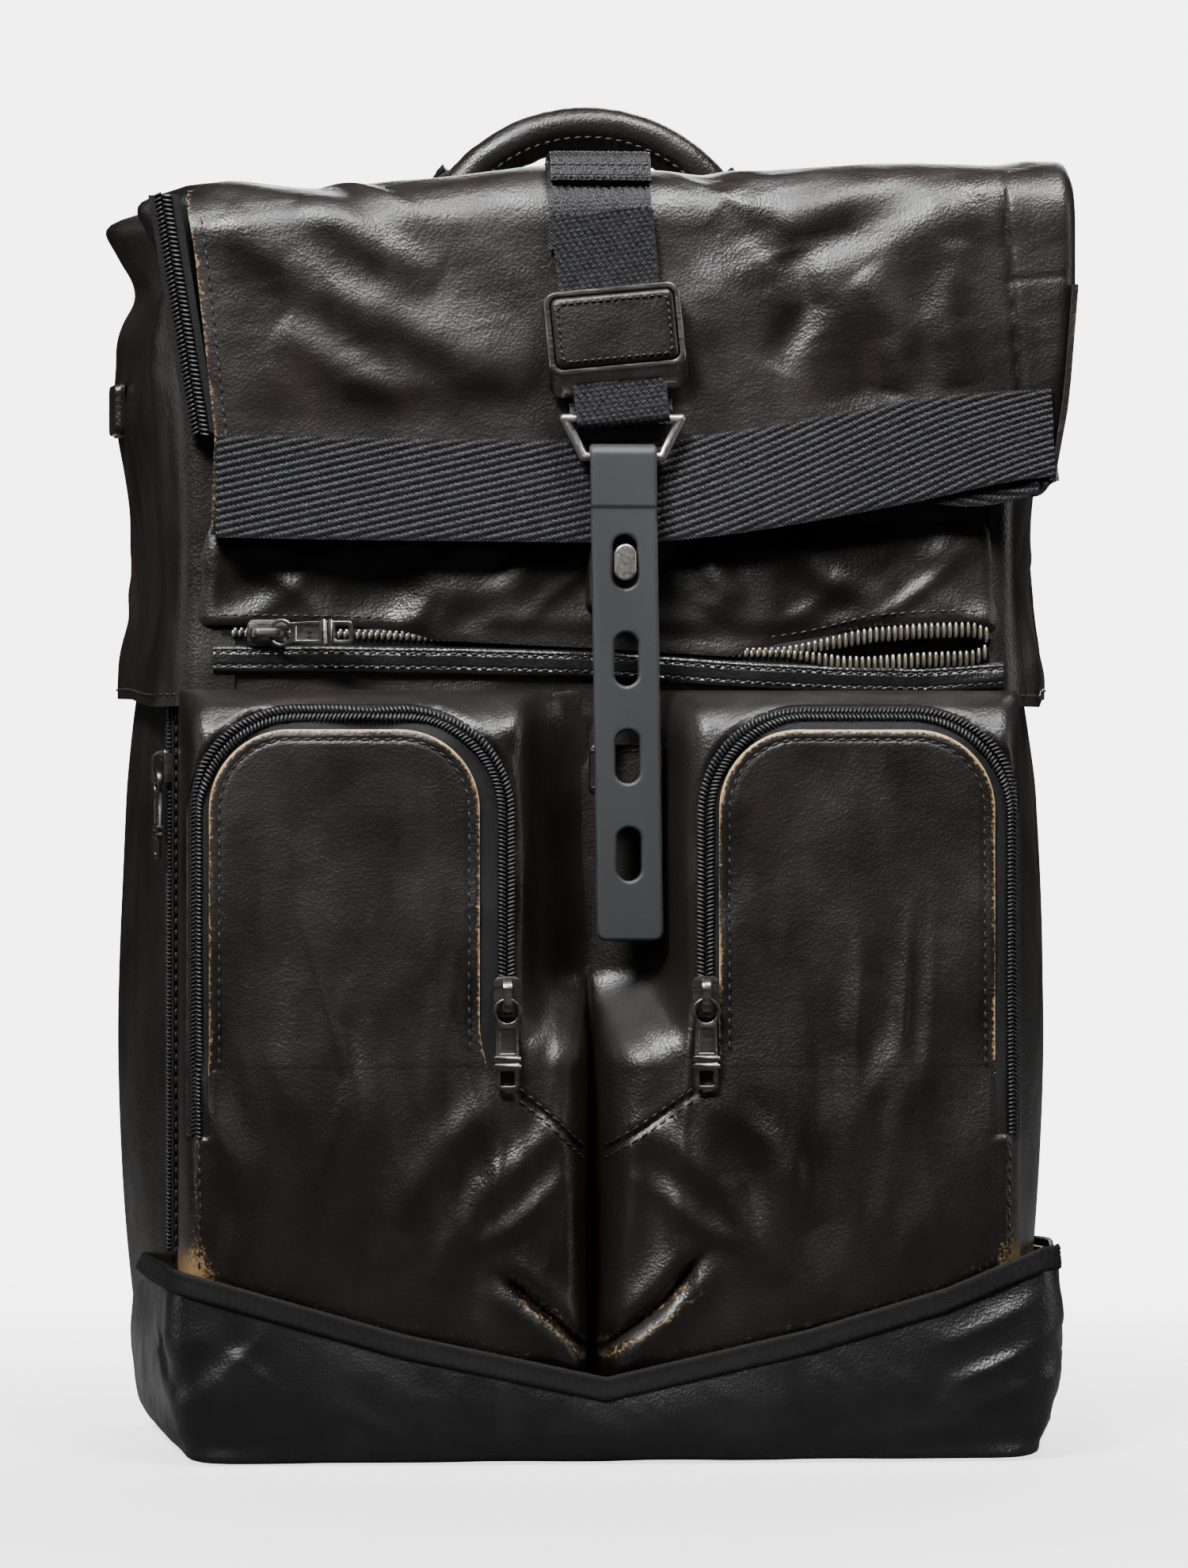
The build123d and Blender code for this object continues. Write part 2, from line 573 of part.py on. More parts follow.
def strap_yoke():
    """Leather patch that the handle and shoulder straps are sewn under."""
    return slab(rounded(-YOKE_HALF, YOKE_HALF, YOKE_LOW, YOKE_HIGH, 8), BACK_Y + GAP, BACK_Y + LEATHER)


def handle_anchor():
    """Sewn block that one end of the handle turns on."""
    return block(49, 75, BACK_Y + LEATHER + GAP, HANDLE_Y + 2, 444, HANDLE_PIVOT_Z - 6)


def handle_leg():
    """Webbing end of the handle, in line with the grip's end."""
    rise, half = GRIP_TOP_Z - GRIP_END_Z, GRIP_HALF
    radius = (half**2 + rise**2) / (2 * rise)
    tilt = math.degrees(math.asin((radius - rise) / radius))
    leg = Pos(0, 0, -8.2) * Box(22, 2.6, 16)
    return Pos(half, HANDLE_Y, GRIP_END_Z) * Rot(0, -tilt, 0) * leg


def handle_grip():
    """Leather-wrapped padded grip."""
    left_end = (-GRIP_HALF, HANDLE_Y, GRIP_END_Z)
    right_end = (GRIP_HALF, HANDLE_Y, GRIP_END_Z)
    arc = ThreePointArc(left_end, (0, HANDLE_Y, GRIP_TOP_Z), right_end)
    profile = Plane(origin=arc @ 0, z_dir=arc % 0) * Circle(GRIP_R)
    return sweep(profile, path=arc)


def shoulder_strap():
    """Padded right shoulder strap."""
    high, low, wide, narrow = STRAP_HIGH_X, STRAP_LOW_X, 30.0, 26.0
    left = [(low - narrow, STRAP_LOW_Z), (high - wide, STRAP_HIGH_Z)]
    outline = shape(*left, (high + wide, STRAP_HIGH_Z), (low + narrow, STRAP_LOW_Z))
    strap = slab(outline, STRAP_PAD_Y, STRAP_PAD_Y + STRAP_PAD_T)
    return fillet(strap.edges().filter_by(Axis.Y, reverse=True), 4.0)


def strap_adjuster():
    """Ladder-lock at the foot of the right shoulder strap."""
    frame = rounded(STRAP_LOW_X - 17, STRAP_LOW_X + 17, STRAP_LOW_Z - 15, STRAP_LOW_Z - 0.2, 3)
    for z in (STRAP_LOW_Z - 11.5, STRAP_LOW_Z - 5.0):
        frame -= Pos(STRAP_LOW_X, z) * SlotOverall(27, 3.2)
    return slab(frame, 79, 83)


def lower_webbing():
    """Webbing tail of the right shoulder strap, from its base anchor towards the adjuster."""
    top = [(STRAP_LOW_X + 12.5, TAIL_HIGH_Z), (STRAP_LOW_X - 12.5, TAIL_HIGH_Z)]
    return slab(shape((TAIL_X - 15, TAIL_LOW_Z), (TAIL_X + 15, TAIL_LOW_Z), *top), 79, 81)


def lower_anchor():
    """Leather triangle on the boot that the right webbing tail is sewn to."""
    y = BOOT_BACK_Y + TAPE_T + 2 * GAP
    corners = [(138, 34), (160, 34), (168, 50), (168, 59.5), (138, 59.5)]
    return slab(shape(*corners), y - TAPE_T, 82) - block(0, 200, 0, y, 60, 80)


def side_tab():
    """Leather tab high on the left side, near the back."""
    return extrude(side_plane(30, GAP) * rounded(-10, 10, 384, 405, 2.5), 2.6)


def side_ring():
    """Small ring sewn flat under the left side tab."""
    plane = side_plane(30, 2.0)
    spot = Plane(origin=plane.origin + Vector(0, 0, 371), x_dir=plane.x_dir, z_dir=plane.z_dir)
    return spot * Torus(9.0, 1.7)


def nodes():
    """Every node's name with its solid or solids."""
    door, shell, coil = pocket_door(), pocket(), pocket_zip()
    pocket_slider, pocket_pull = slider(POCKET_ZIP_PLANE), pull(POCKET_ZIP_PLANE)
    parts = {
        "front_wall": front_wall(),
        "back_panel": back_panel(),
        "lumbar_pad": lumbar_pad(),
        "left_side_panel": left_side_panel(),
        "right_side_panel": side_panel(),
        "base_boot": base_boot(),
        "base_tape": base_tape(),
        "base_board": base_board(),
        "main_lining": main_lining(),
        "frame_sheet": frame_sheet(),
        "laptop_divider": laptop_divider(),
        "front_zip_tape": front_zip_tape(),
        "front_zip_teeth": front_zip_teeth(),
        "front_zip_welt": front_zip_welt(),
        "front_slider": slider(FRONT_ZIP_PLANE),
        "front_pull": pull(FRONT_ZIP_PLANE, FRONT_PULL_LIFT),
        "side_zip": side_zip(),
        "side_slider": slider(side_zip_plane()),
        "side_pull": pull(side_zip_plane()),
        "crown_panel": crown_panel(),
        "crown_webbing": crown_webbing(),
        "flap_panel": flap_panel(),
        "flap_band": flap_band(),
        "flap_zip": flap_zip(),
        "closure_webbing": closure_webbing(),
        "buckle_frame": buckle_frame(),
        "buckle_inlay": buckle_inlay(),
        "strap_ring": strap_ring(),
        "rubber_strap": rubber_strap(),
        "front_placket": front_placket(),
        "strap_stud": strap_stud(),
        "keeper_tab": keeper_tab(),
        "strap_yoke": strap_yoke(),
        "handle_grip": handle_grip(),
        "handle_webbing": pair(handle_leg()),
        "handle_anchors": pair(handle_anchor()),
        "lower_anchors": pair(lower_anchor()),
        "side_tabs": pair(side_tab()),
        "side_rings": pair(side_ring()),
    }
    handed = {
        "gusset": gusset(),
        "back_pad": back_pad(),
        "pocket": shell,
        "pocket_zip": coil,
        "pocket_door": door,
        "pocket_slider": pocket_slider,
        "pocket_pull": pocket_pull,
        "shoulder_strap": shoulder_strap(),
        "strap_adjuster": strap_adjuster(),
        "lower_webbing": lower_webbing(),
    }
    for name, part in handed.items():
        parts["right_" + name] = part
        parts["left_" + name] = mirrored(part)
    return parts


os.makedirs("parts", exist_ok=True)
for name, part in nodes().items():
    export_step(part, f"parts/{name}.step")
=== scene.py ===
"""Looks of the roll-top leather backpack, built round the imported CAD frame. Lengths here are millimetres."""

import bpy
import json
import math
import numpy as np
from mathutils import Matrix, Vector

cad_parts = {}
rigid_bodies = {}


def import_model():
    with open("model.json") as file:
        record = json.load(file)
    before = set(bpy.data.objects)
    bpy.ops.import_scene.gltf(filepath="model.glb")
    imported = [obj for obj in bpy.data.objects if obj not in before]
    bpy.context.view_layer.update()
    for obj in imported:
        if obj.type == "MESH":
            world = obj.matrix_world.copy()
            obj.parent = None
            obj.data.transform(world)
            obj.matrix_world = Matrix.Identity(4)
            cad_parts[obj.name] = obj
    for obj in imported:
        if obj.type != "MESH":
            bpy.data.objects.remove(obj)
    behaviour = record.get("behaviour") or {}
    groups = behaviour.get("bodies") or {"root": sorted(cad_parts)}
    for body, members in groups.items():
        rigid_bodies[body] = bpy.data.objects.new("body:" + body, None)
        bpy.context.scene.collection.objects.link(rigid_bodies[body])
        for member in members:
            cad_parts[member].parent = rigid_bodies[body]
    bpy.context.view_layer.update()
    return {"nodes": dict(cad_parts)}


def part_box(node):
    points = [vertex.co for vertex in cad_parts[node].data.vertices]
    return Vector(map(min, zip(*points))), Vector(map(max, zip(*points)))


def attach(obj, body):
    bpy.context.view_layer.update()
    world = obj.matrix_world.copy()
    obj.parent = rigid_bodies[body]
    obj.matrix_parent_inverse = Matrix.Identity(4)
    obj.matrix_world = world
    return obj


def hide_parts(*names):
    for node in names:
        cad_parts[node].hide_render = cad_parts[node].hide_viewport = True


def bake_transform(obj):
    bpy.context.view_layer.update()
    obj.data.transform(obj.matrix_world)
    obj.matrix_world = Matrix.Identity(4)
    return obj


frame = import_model()
NODES = frame["nodes"]
MM = 0.001


def node_box(name):
    """Lowest and highest corner of a CAD node in millimetres."""
    low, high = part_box(name)
    return np.array(low) / MM, np.array(high) / MM


# ---------------------------------------------------------------- numbers taken from the frame
door_lo, door_hi = node_box("right_pocket_door")
pocket_lo, pocket_hi = node_box("right_pocket")
boot_lo, boot_hi = node_box("base_boot")
flap_lo = node_box("flap_panel")[0]
crown_hi = node_box("crown_panel")[1]
wall_lo, wall_hi = node_box("front_wall")
ring_lo, ring_hi = node_box("strap_ring")
strap_lo = node_box("rubber_strap")[0]
placket_lo, placket_hi = node_box("front_placket")
keeper_lo, keeper_hi = node_box("keeper_tab")
inlay_lo, inlay_hi = node_box("buckle_inlay")

WALL_Y = wall_lo[1]
FACE_Y = pocket_lo[1]
POCKET_OUT, POCKET_TOP = pocket_hi[0] - 4.5, pocket_hi[2]
DOOR_IN, DOOR_OUT, DOOR_TOP, DOOR_FOOT = door_lo[0], door_hi[0], door_hi[2], door_lo[2]
DOOR_R, ZIP_RUN = 32.0, 5.5
SPLIT_Z = DOOR_FOOT + 4.0
HANDLE_X = 4.0  # the handle sits a little right of the middle


# ---------------------------------------------------------------- noise and shaping helpers
def noise(p, size, seed=0):
    """Smooth value noise in -1..1 at points p."""
    q = np.asarray(p, float) / size + np.array([seed * 17.31, seed * 5.77, seed * 11.13])
    cell = np.floor(q).astype(np.int64)
    f = q - cell
    f = f * f * f * (f * (f * 6 - 15) + 10)
    total = 0.0
    for k in range(8):
        d = np.array([k & 1, k >> 1 & 1, k >> 2 & 1])
        c = (cell + d) & 0xFFFFF
        h = (c[..., 0] * 73856093) ^ (c[..., 1] * 19349663) ^ (c[..., 2] * 83492791)
        h = ((h & 0xFFFFFFF) ^ (h >> 13 & 0x7FFFF)) * 1274126177 & 0xFFFFFFFF
        h = (h ^ h >> 15) & 0xFFFF
        total = total + (h / 32767.5 - 1) * np.prod(np.where(d, f, 1 - f), axis=-1)
    return total


def flat3(a, b, c=0.0):
    return np.stack(np.broadcast_arrays(np.asarray(a, float), b, c), -1)


def ramp(v, low, high):
    """Smooth step from 0 at low to 1 at high."""
    t = np.clip((np.asarray(v, float) - low) / (high - low), 0, 1)
    return t * t * (3 - 2 * t)


def folds(a, b, seed, size, angle=0.0, stretch=3.0, sharp=0.04):
    """Soft leather folds whose length runs at an angle in the a, b plane, in about -1..1."""
    c, s = math.cos(math.radians(angle)), math.sin(math.radians(angle))
    w = flat3((a * c + b * s) / stretch, -a * s + b * c, seed * 7.7)
    w = w + size * 0.45 * flat3(noise(w, size * 1.4, seed + 1), noise(w, size * 1.4, seed + 2))
    return 1 - 2 * np.sqrt(noise(w, size, seed) ** 2 + sharp)


def line_gap(a, b, pts):
    """Distance from points to a polyline, and how far along it (0..1) the nearest place is."""
    pts = np.asarray(pts, float)
    lens = np.linalg.norm(np.diff(pts, axis=0), axis=1)
    best, along, done = None, None, 0.0
    for p, q, size in zip(pts, pts[1:], lens):
        d = (q - p) / size
        t = np.clip((a - p[0]) * d[0] + (b - p[1]) * d[1], 0, size)
        gap = np.hypot(a - p[0] - d[0] * t, b - p[1] - d[1] * t)
        here = (done + t) / lens.sum()
        along = here if best is None else np.where(gap < best, here, along)
        best = gap if best is None else np.minimum(gap, best)
        done += size
    return best, along


def bell(v, width):
    """A smooth hump of height 1 at v = 0."""
    return np.exp(-((v / width) ** 2))


def fold_line(a, b, pts, width, height, fade=0.6):
    """A rounded ridge (or groove, if height is negative) along a polyline, fading at both ends."""
    gap, along = line_gap(a, b, pts)
    return height * bell(gap, width) * np.sin(np.pi * np.clip(along, 0.001, 0.999)) ** fade


def soft(d, r, p=2.3):
    """Rounded rise from 0 at d = 0 to 1 at d = r."""
    t = np.clip(1 - np.asarray(d, float) / r, 0, 1)
    return (1 - t**p) ** (1 / p)


def resample(p, step=None, count=None):
    """Evenly spaced points along a polyline."""
    p = np.asarray(p, float)
    run = np.concatenate([[0], np.cumsum(np.linalg.norm(np.diff(p, axis=0), axis=1))])
    n = count or int(round(run[-1] / step)) + 1
    t = np.linspace(0, run[-1], n)
    return np.stack([np.interp(t, run, p[:, k]) for k in range(p.shape[1])], -1)


def rounded_path(pts, radii, step=1.5, closed=False, count=None):
    """Points along a flat polyline whose corners are rounded."""
    pts, out = [np.array(p, float) for p in pts], []
    for i, (p, r) in enumerate(zip(pts, radii)):
        if r <= 0 or (not closed and i in (0, len(pts) - 1)):
            out.append(p)
            continue
        a, b = pts[i - 1] - p, pts[(i + 1) % len(pts)] - p
        a, b = a / np.linalg.norm(a), b / np.linalg.norm(b)
        half = math.acos(max(-1, min(1, float(a @ b)))) / 2
        mid = (a + b) / np.linalg.norm(a + b)
        c = p + mid * r / math.sin(half)
        s, e = p + a * r / math.tan(half) - c, p + b * r / math.tan(half) - c
        a0, a1 = math.atan2(s[1], s[0]), math.atan2(e[1], e[0])
        turn = (a1 - a0 + math.pi) % (2 * math.pi) - math.pi
        for q in np.linspace(0, 1, max(5, int(abs(turn) * r / step) + 2)):
            out.append(c + r * np.array([math.cos(a0 + turn * q), math.sin(a0 + turn * q)]))
    if closed:
        out.append(out[0])
    return resample(np.array(out), step, count)


def unit(v):
    return v / np.maximum(np.linalg.norm(v, axis=-1, keepdims=True), 1e-9)


# ---------------------------------------------------------------- meshes
def make(name, verts, faces, mats, kinds=None, wear=None, sharp=None):
    """A mesh object from points in millimetres."""
    me = bpy.data.meshes.new(name)
    me.from_pydata((np.asarray(verts, float) * MM).tolist(), [], np.asarray(faces).tolist())
    for m in mats:
        me.materials.append(m)
    if kinds is not None and len(mats) > 1:
        me.polygons.foreach_set("material_index", np.minimum(kinds, len(mats) - 1).astype(np.int32))
    me.shade_smooth()
    if sharp:
        me.set_sharp_from_angle(angle=math.radians(sharp))
    layer = me.attributes.new("wear", "FLOAT", "POINT")
    layer.data.foreach_set(
        "value", np.zeros(len(verts), np.float32) if wear is None else wear.astype(np.float32)
    )
    me.update()
    ob = bpy.data.objects.new(name, me)
    bpy.context.scene.collection.objects.link(ob)
    return ob


def grid_faces(nu, nv, closed=False):
    i = np.arange(nu if closed else nu - 1)[:, None]
    j = np.arange(nv - 1)[None, :]
    a, b = i * nv + j, (i + 1) % nu * nv + j
    return np.stack([a, b, b + 1, a + 1], -1).reshape(-1, 4)


def grid_normals(P, closed=False):
    du = np.roll(P, -1, 0) - np.roll(P, 1, 0) if closed else np.gradient(P, axis=0)
    return unit(np.cross(du, np.gradient(P, axis=1)))


def sheet(
    name, P, thick, mats, keep=None, closed=False, flip=False, wear=None, edge_wear=0.0, normals=None
):
    """A sheet of material: outer face on grid P, inner face below it, and a rim round every open edge."""
    nu, nv, _ = P.shape
    faces = grid_faces(nu, nv, closed)
    if keep is not None:
        faces = faces[keep.ravel()]
    n = (grid_normals(P, closed) * (-1 if flip else 1) if normals is None else normals).reshape(-1, 3)
    v = P.reshape(-1, 3)
    N = len(v)
    e = np.concatenate([faces[:, [k, (k + 1) % 4]] for k in range(4)])
    rim = e[~np.isin(e[:, 0] * N + e[:, 1], e[:, 1] * N + e[:, 0])]
    rims = np.stack([rim[:, 1], rim[:, 0], rim[:, 0] + N, rim[:, 1] + N], -1)
    every = np.concatenate([faces, faces[:, ::-1] + N, rims])
    kinds = np.concatenate([np.zeros(len(faces)), np.ones(len(faces)), np.full(len(rims), 2)])
    if flip:
        every = every[:, ::-1]
    worn = np.zeros(2 * N)
    if wear is not None:
        worn[:N] = wear.reshape(-1)
    worn[np.unique(rim)] = np.maximum(worn[np.unique(rim)], edge_wear)
    worn[np.unique(rim) + N] = edge_wear
    used, back = np.unique(every, return_inverse=True)
    points = np.concatenate([v, v - n * thick])[used]
    return make(name, points, back.reshape(every.shape), mats, kinds, worn[used], sharp=50)


def octa(levels=1):
    """A small ball of triangles."""
    v = [np.array(p, float) for p in ((1, 0, 0), (-1, 0, 0), (0, 1, 0), (0, -1, 0), (0, 0, 1), (0, 0, -1))]
    f = [(0, 2, 4), (2, 1, 4), (1, 3, 4), (3, 0, 4), (2, 0, 5), (1, 2, 5), (3, 1, 5), (0, 3, 5)]
    for _ in range(levels):
        mids, g = {}, []
        for tri in f:
            m = []
            for k in range(3):
                key = tuple(sorted((tri[k], tri[(k + 1) % 3])))
                if key not in mids:
                    mids[key] = len(v)
                    v.append(unit(v[key[0]] + v[key[1]]))
                m.append(mids[key])
            g += [(tri[0], m[0], m[2]), (m[0], tri[1], m[1]), (m[2], m[1], tri[2]), tuple(m)]
        f = g
    return np.array(v), np.array(f)


def scatter(name, where, x, y, z, mat, levels=1, block=1.0):
    """One rounded bead per place, with half sizes and directions given by vectors x, y and z."""
    v, f = octa(levels)
    v = np.sign(v) * np.abs(v) ** block
    P = (
        where[:, None]
        + v[None, :, :1] * x[:, None]
        + v[None, :, 1:2] * y[:, None]
        + v[None, :, 2:] * z[:, None]
    )
    faces = f[None] + (np.arange(len(where)) * len(v))[:, None, None]
    return make(name, P.reshape(-1, 3), faces.reshape(-1, 3), [mat])


def frames_along(path, normals):
    t = unit(np.gradient(path, axis=0))
    n = unit(normals - t * np.sum(normals * t, -1, keepdims=True))
    return t, n, np.cross(n, t)


def stitches(name, runs, mat, pitch=4.2, length=3.2, width=0.9, lift=0.15):
    """Rows of thread stitches; each run is a path of points and the outward normals along it."""
    where, x, y, z = [], [], [], []
    for path, normals in runs:
        both = resample(np.concatenate([path, normals], 1), pitch)
        p, n = both[:, :3], unit(both[:, 3:])
        t, n, b = frames_along(p, n)
        tilt = unit(t + 0.12 * b)
        where.append(p + n * lift)
        x.append(tilt * length / 2)
        y.append(np.cross(n, tilt) * width / 2)
        z.append(n * 0.45)
    return scatter(name, *[np.concatenate(q) for q in (where, x, y, z)], mat)


def coil(name, path, normals, mat, half=3.1, pitch=1.55, slant=0.35, gap=0.25, height=1.1):
    """A meshed coil zip: two strands of slanted loops along a path."""
    both = resample(np.concatenate([path, normals], 1), pitch)
    t, n, b = frames_along(both[:, :3], unit(both[:, 3:]))
    where, x, y, z = [], [], [], []
    for side in (-1, 1):
        across = unit(b * side + t * slant)
        where.append(
            both[:, :3] + b * side * (half + gap) / 2 + n * height * 0.6 + t * pitch / 2 * (side > 0)
        )
        x.append(across * (half - gap) / 2 * 1.25)
        y.append(np.cross(n, across) * 0.62)
        z.append(n * height)
    return scatter(name, *[np.concatenate(q) for q in (where, x, y, z)], mat, levels=2, block=0.85)


def webbing(
    name, path, across, width, mat, thick=1.8, angle=14.0, pitch=2.7, rib=0.85, step=0.6, shape=None
):
    """Twill webbing along its middle line, path; across holds the sideways unit vectors."""
    both = resample(np.concatenate([path, across], 1), step)
    w = np.linspace(-0.5, 0.5, int(width / step) + 1) * width
    P = both[:, None, :3] + both[:, None, 3:] * w[None, :, None]
    u = np.arange(len(both))[:, None] * step * np.ones_like(w)
    if shape is not None:
        P = shape(P, u, w)
    c, s = math.cos(math.radians(angle)), math.sin(math.radians(angle))
    ww = np.broadcast_to(w, u.shape)
    rows = np.abs(np.sin(np.pi * (ww * c - u * s) / pitch))
    beads = np.abs(np.sin(np.pi * ((u * c + ww * s) / 1.9 + 0.5 * np.floor((ww * c - u * s) / pitch))))
    selvedge = ramp(width / 2 - np.abs(ww), 0, 1.6)
    n = grid_normals(P)
    lift = (rib * rows**0.6 * (0.3 + 0.7 * beads**0.6) - rib) * selvedge - 0.5 * (1 - selvedge)
    fuzz = 0.07 * noise(P, 0.9, 3)
    return sheet(name, P + n * (lift + fuzz)[..., None], thick, [mat])


def puffed(
    name,
    cx,
    cz,
    w,
    h,
    r,
    y0,
    rise,
    mats,
    out=-1,
    edge=6.0,
    turn=0.0,
    bumps=None,
    step=2.0,
    crown=0.0,
    piping=0.0,
):
    """A rounded rectangular patch or pad on an upright plane, raised towards out (-1 front, +1 back)."""
    rim = rounded_path(
        [(w / 2, -h / 2), (w / 2, h / 2), (-w / 2, h / 2), (-w / 2, -h / 2)], [r] * 4, step, closed=True
    )[:-1]
    small = min(w, h) / 2
    rings = np.unique(
        np.concatenate(
            [
                np.linspace(0.0, 1 - edge / small * 0.9, max(3, int(small / step))),
                1 - edge / small * (1 - np.sin(np.linspace(0, np.pi / 2, 8))),
            ]
        )
    )
    P = []
    for k in rings:
        inset = (1 - k) * small
        kx, kz = max(0.0, 1 - inset / (w / 2)), max(0.0, 1 - inset / (h / 2))
        lift = (
            rise * (soft(inset, edge) + crown * (1 - k * k))
            + piping * math.exp(-(((inset - 1.4) / 1.1) ** 2))
        )
        P.append(np.stack([rim[:, 0] * kx, np.full(len(rim), lift), rim[:, 1] * kz], -1))
    P = np.array(P).transpose(1, 0, 2)
    if bumps is not None:
        P[..., 1] += bumps(P[..., 0] + cx, P[..., 2] + cz) * np.clip(P[..., 1] / max(rise, 0.1), 0, 1)
    a = math.radians(turn)
    x, z = (
        P[..., 0] * math.cos(a) - P[..., 2] * math.sin(a), P[..., 0] * math.sin(a) + P[..., 2] * math.cos(a)
    )
    Q = np.stack([cx + x, y0 + out * P[..., 1], cz + z], -1)
    return sheet(name, Q, 0.6, mats, closed=True, flip=out < 0)


def piece(ob, body, slot, *nodes, bend=None):
    """Puts a piece on its body, or bakes its placement into the mesh when bend is given, and hides the CAD
    nodes it stands for; slot is not used.
    """
    if nodes:
        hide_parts(*nodes)
    if bend:
        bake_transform(ob)
    else:
        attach(ob, body)
    return ob


# ---------------------------------------------------------------- materials
class Finish:
    """A node material being built."""

    def __init__(self, name, rough=0.5, metal=0.0, spec=0.5):
        self.mat = bpy.data.materials.new(name)
        self.mat.use_nodes = True
        self.tree = self.mat.node_tree
        self.bsdf = self.tree.nodes["Principled BSDF"]
        self.bsdf.inputs["Roughness"].default_value = rough
        self.bsdf.inputs["Metallic"].default_value = metal
        self.bsdf.inputs["Specular IOR Level"].default_value = spec
        self.bsdf.inputs["Specular Tint"].default_value = (1, 1, 1, 1)
        self.where = self.add("ShaderNodeTexCoord").outputs["Object"]
        self.bumped = None

    def add(self, kind, links=None, **values):
        node = self.tree.nodes.new(kind)
        for key, value in values.items():
            if hasattr(node, key):
                setattr(node, key, value)
            else:
                node.inputs[key.replace("_", " ")].default_value = value
        for key, out in (links or {}).items():
            self.tree.links.new(out, node.inputs[key])
        return node

    def noise(self, scale, detail=3.0, stretch=None, rough=0.55):
        where = self.where
        if stretch:
            where = self.add("ShaderNodeMapping", {"Vector": where}, Scale=stretch).outputs[0]
        return self.add(
            "ShaderNodeTexNoise", {"Vector": where}, Scale=scale, Detail=detail, Roughness=rough
        ).outputs["Fac"]

    def cells(self, scale, feature="F1"):
        return self.add(
            "ShaderNodeTexVoronoi", {"Vector": self.where}, feature=feature, Scale=scale
        ).outputs["Distance"]

    def wave(self, scale, direction="DIAGONAL"):
        kw = {"wave_type": "BANDS", "bands_direction": direction, "Scale": scale}
        return self.add("ShaderNodeTexWave", {"Vector": self.where}, **kw).outputs["Fac"]

    def span(self, value, a, b, low, high):
        kw = {"From_Min": a, "From_Max": b, "To_Min": low, "To_Max": high}
        return self.add("ShaderNodeMapRange", {"Value": value}, **kw).outputs[0]

    def math(self, op, a, b):
        node = self.add("ShaderNodeMath", operation=op)
        for k, v in enumerate((a, b)):
            if isinstance(v, (int, float)):
                node.inputs[k].default_value = v
            else:
                self.tree.links.new(v, node.inputs[k])
        return node.outputs[0]

    def mix(self, factor, a, b):
        node = self.add("ShaderNodeMix", data_type="RGBA")
        for k, v in (("Factor", factor), ("A", a), ("B", b)):
            socket = [s for s in node.inputs if s.name == k and s.enabled][0]
            if isinstance(v, tuple):
                socket.default_value = (*v, 1.0)
            else:
                self.tree.links.new(v, socket)
        return [s for s in node.outputs if s.enabled][0]

    def bump(self, height, strength, distance):
        kw = {"Strength": strength, "Distance": distance}
        links = {"Height": height}
        if self.bumped:
            links["Normal"] = self.bumped
        self.bumped = self.add("ShaderNodeBump", links, **kw).outputs[0]
        self.tree.links.new(self.bumped, self.bsdf.inputs["Normal"])

    def set(self, socket, out):
        self.tree.links.new(out, self.bsdf.inputs[socket])

    def worn(self):
        return self.add("ShaderNodeAttribute", attribute_name="wear").outputs["Fac"]


def leather(name, dark, light, rough, tan=(0.36, 0.235, 0.11), grain=0.4, scuffs=0.35):
    f = Finish(name, rough, spec=0.42)
    tone = f.mix(f.span(f.noise(14, 4), 0.35, 0.7, 0, 1), dark, light)
    streak = f.span(f.noise(60, 5, (1, 1, 0.22)), 0.5, 0.72, 0, 0.55)
    tone = f.mix(streak, tone, tuple(1.7 * c for c in light))
    patchy = f.span(f.noise(700, 5, None, 0.7), 0.3, 0.65, -0.4, 0.4)
    bare = f.span(f.math("ADD", f.worn(), patchy), 0.5, 1.05, 0, 0.95)
    dust = f.span(f.noise(900, 2), 0.77, 0.84, 0, scuffs)
    tone = f.mix(dust, tone, (0.16, 0.12, 0.08))
    f.set("Base Color", f.mix(bare, tone, tan))
    f.set("Roughness", f.span(f.noise(35, 5), 0.25, 0.75, rough - 0.1, rough + 0.13))
    f.bump(f.noise(95, 5), 0.2, 0.0018)
    f.bump(f.cells(900), grain, 0.0003)
    f.bump(f.noise(420, 3), 0.2, 0.0004)
    f.bump(f.noise(2600, 2), 0.25, 0.00012)
    return f.mat


def cloth(name, dark, light, rough, scale, weave=0.5, depth=0.0003):
    f = Finish(name, rough, spec=0.2)
    f.set("Base Color", f.mix(f.span(f.noise(scale * 0.8, 3), 0.3, 0.75, 0, 1), dark, light))
    lattice = f.math("MULTIPLY", f.wave(scale), f.wave(scale, "X"))
    f.bump(lattice, weave, depth)
    f.bump(f.noise(scale * 5, 3), 0.3, 0.0001)
    return f.mat


def metal(name, colour, shade, rough, brushed=(1, 1, 1), scratch=0.25):
    f = Finish(name, rough, metal=1.0)
    f.set("Base Color", f.mix(f.span(f.noise(90, 5), 0.35, 0.7, 0, 1), colour, shade))
    fine = f.noise(900, 3, brushed)
    f.set("Roughness", f.span(fine, 0.3, 0.7, rough - 0.07, rough + 0.12))
    f.bump(fine, scratch, 0.00008)
    return f.mat


def dusty(name, colour, rough, speck):
    f = Finish(name, rough, spec=0.4)
    dust = f.span(f.noise(1500, 2), 0.70, 0.78, 0, 0.5)
    smear = f.span(f.noise(45, 4, (1, 1, 0.3)), 0.4, 0.75, 0, 0.35)
    tone = f.mix(smear, colour, tuple(1.8 * c for c in colour))
    f.set("Base Color", f.mix(dust, tone, speck))
    f.bump(f.noise(1800, 3), 0.25, 0.0001)
    return f.mat


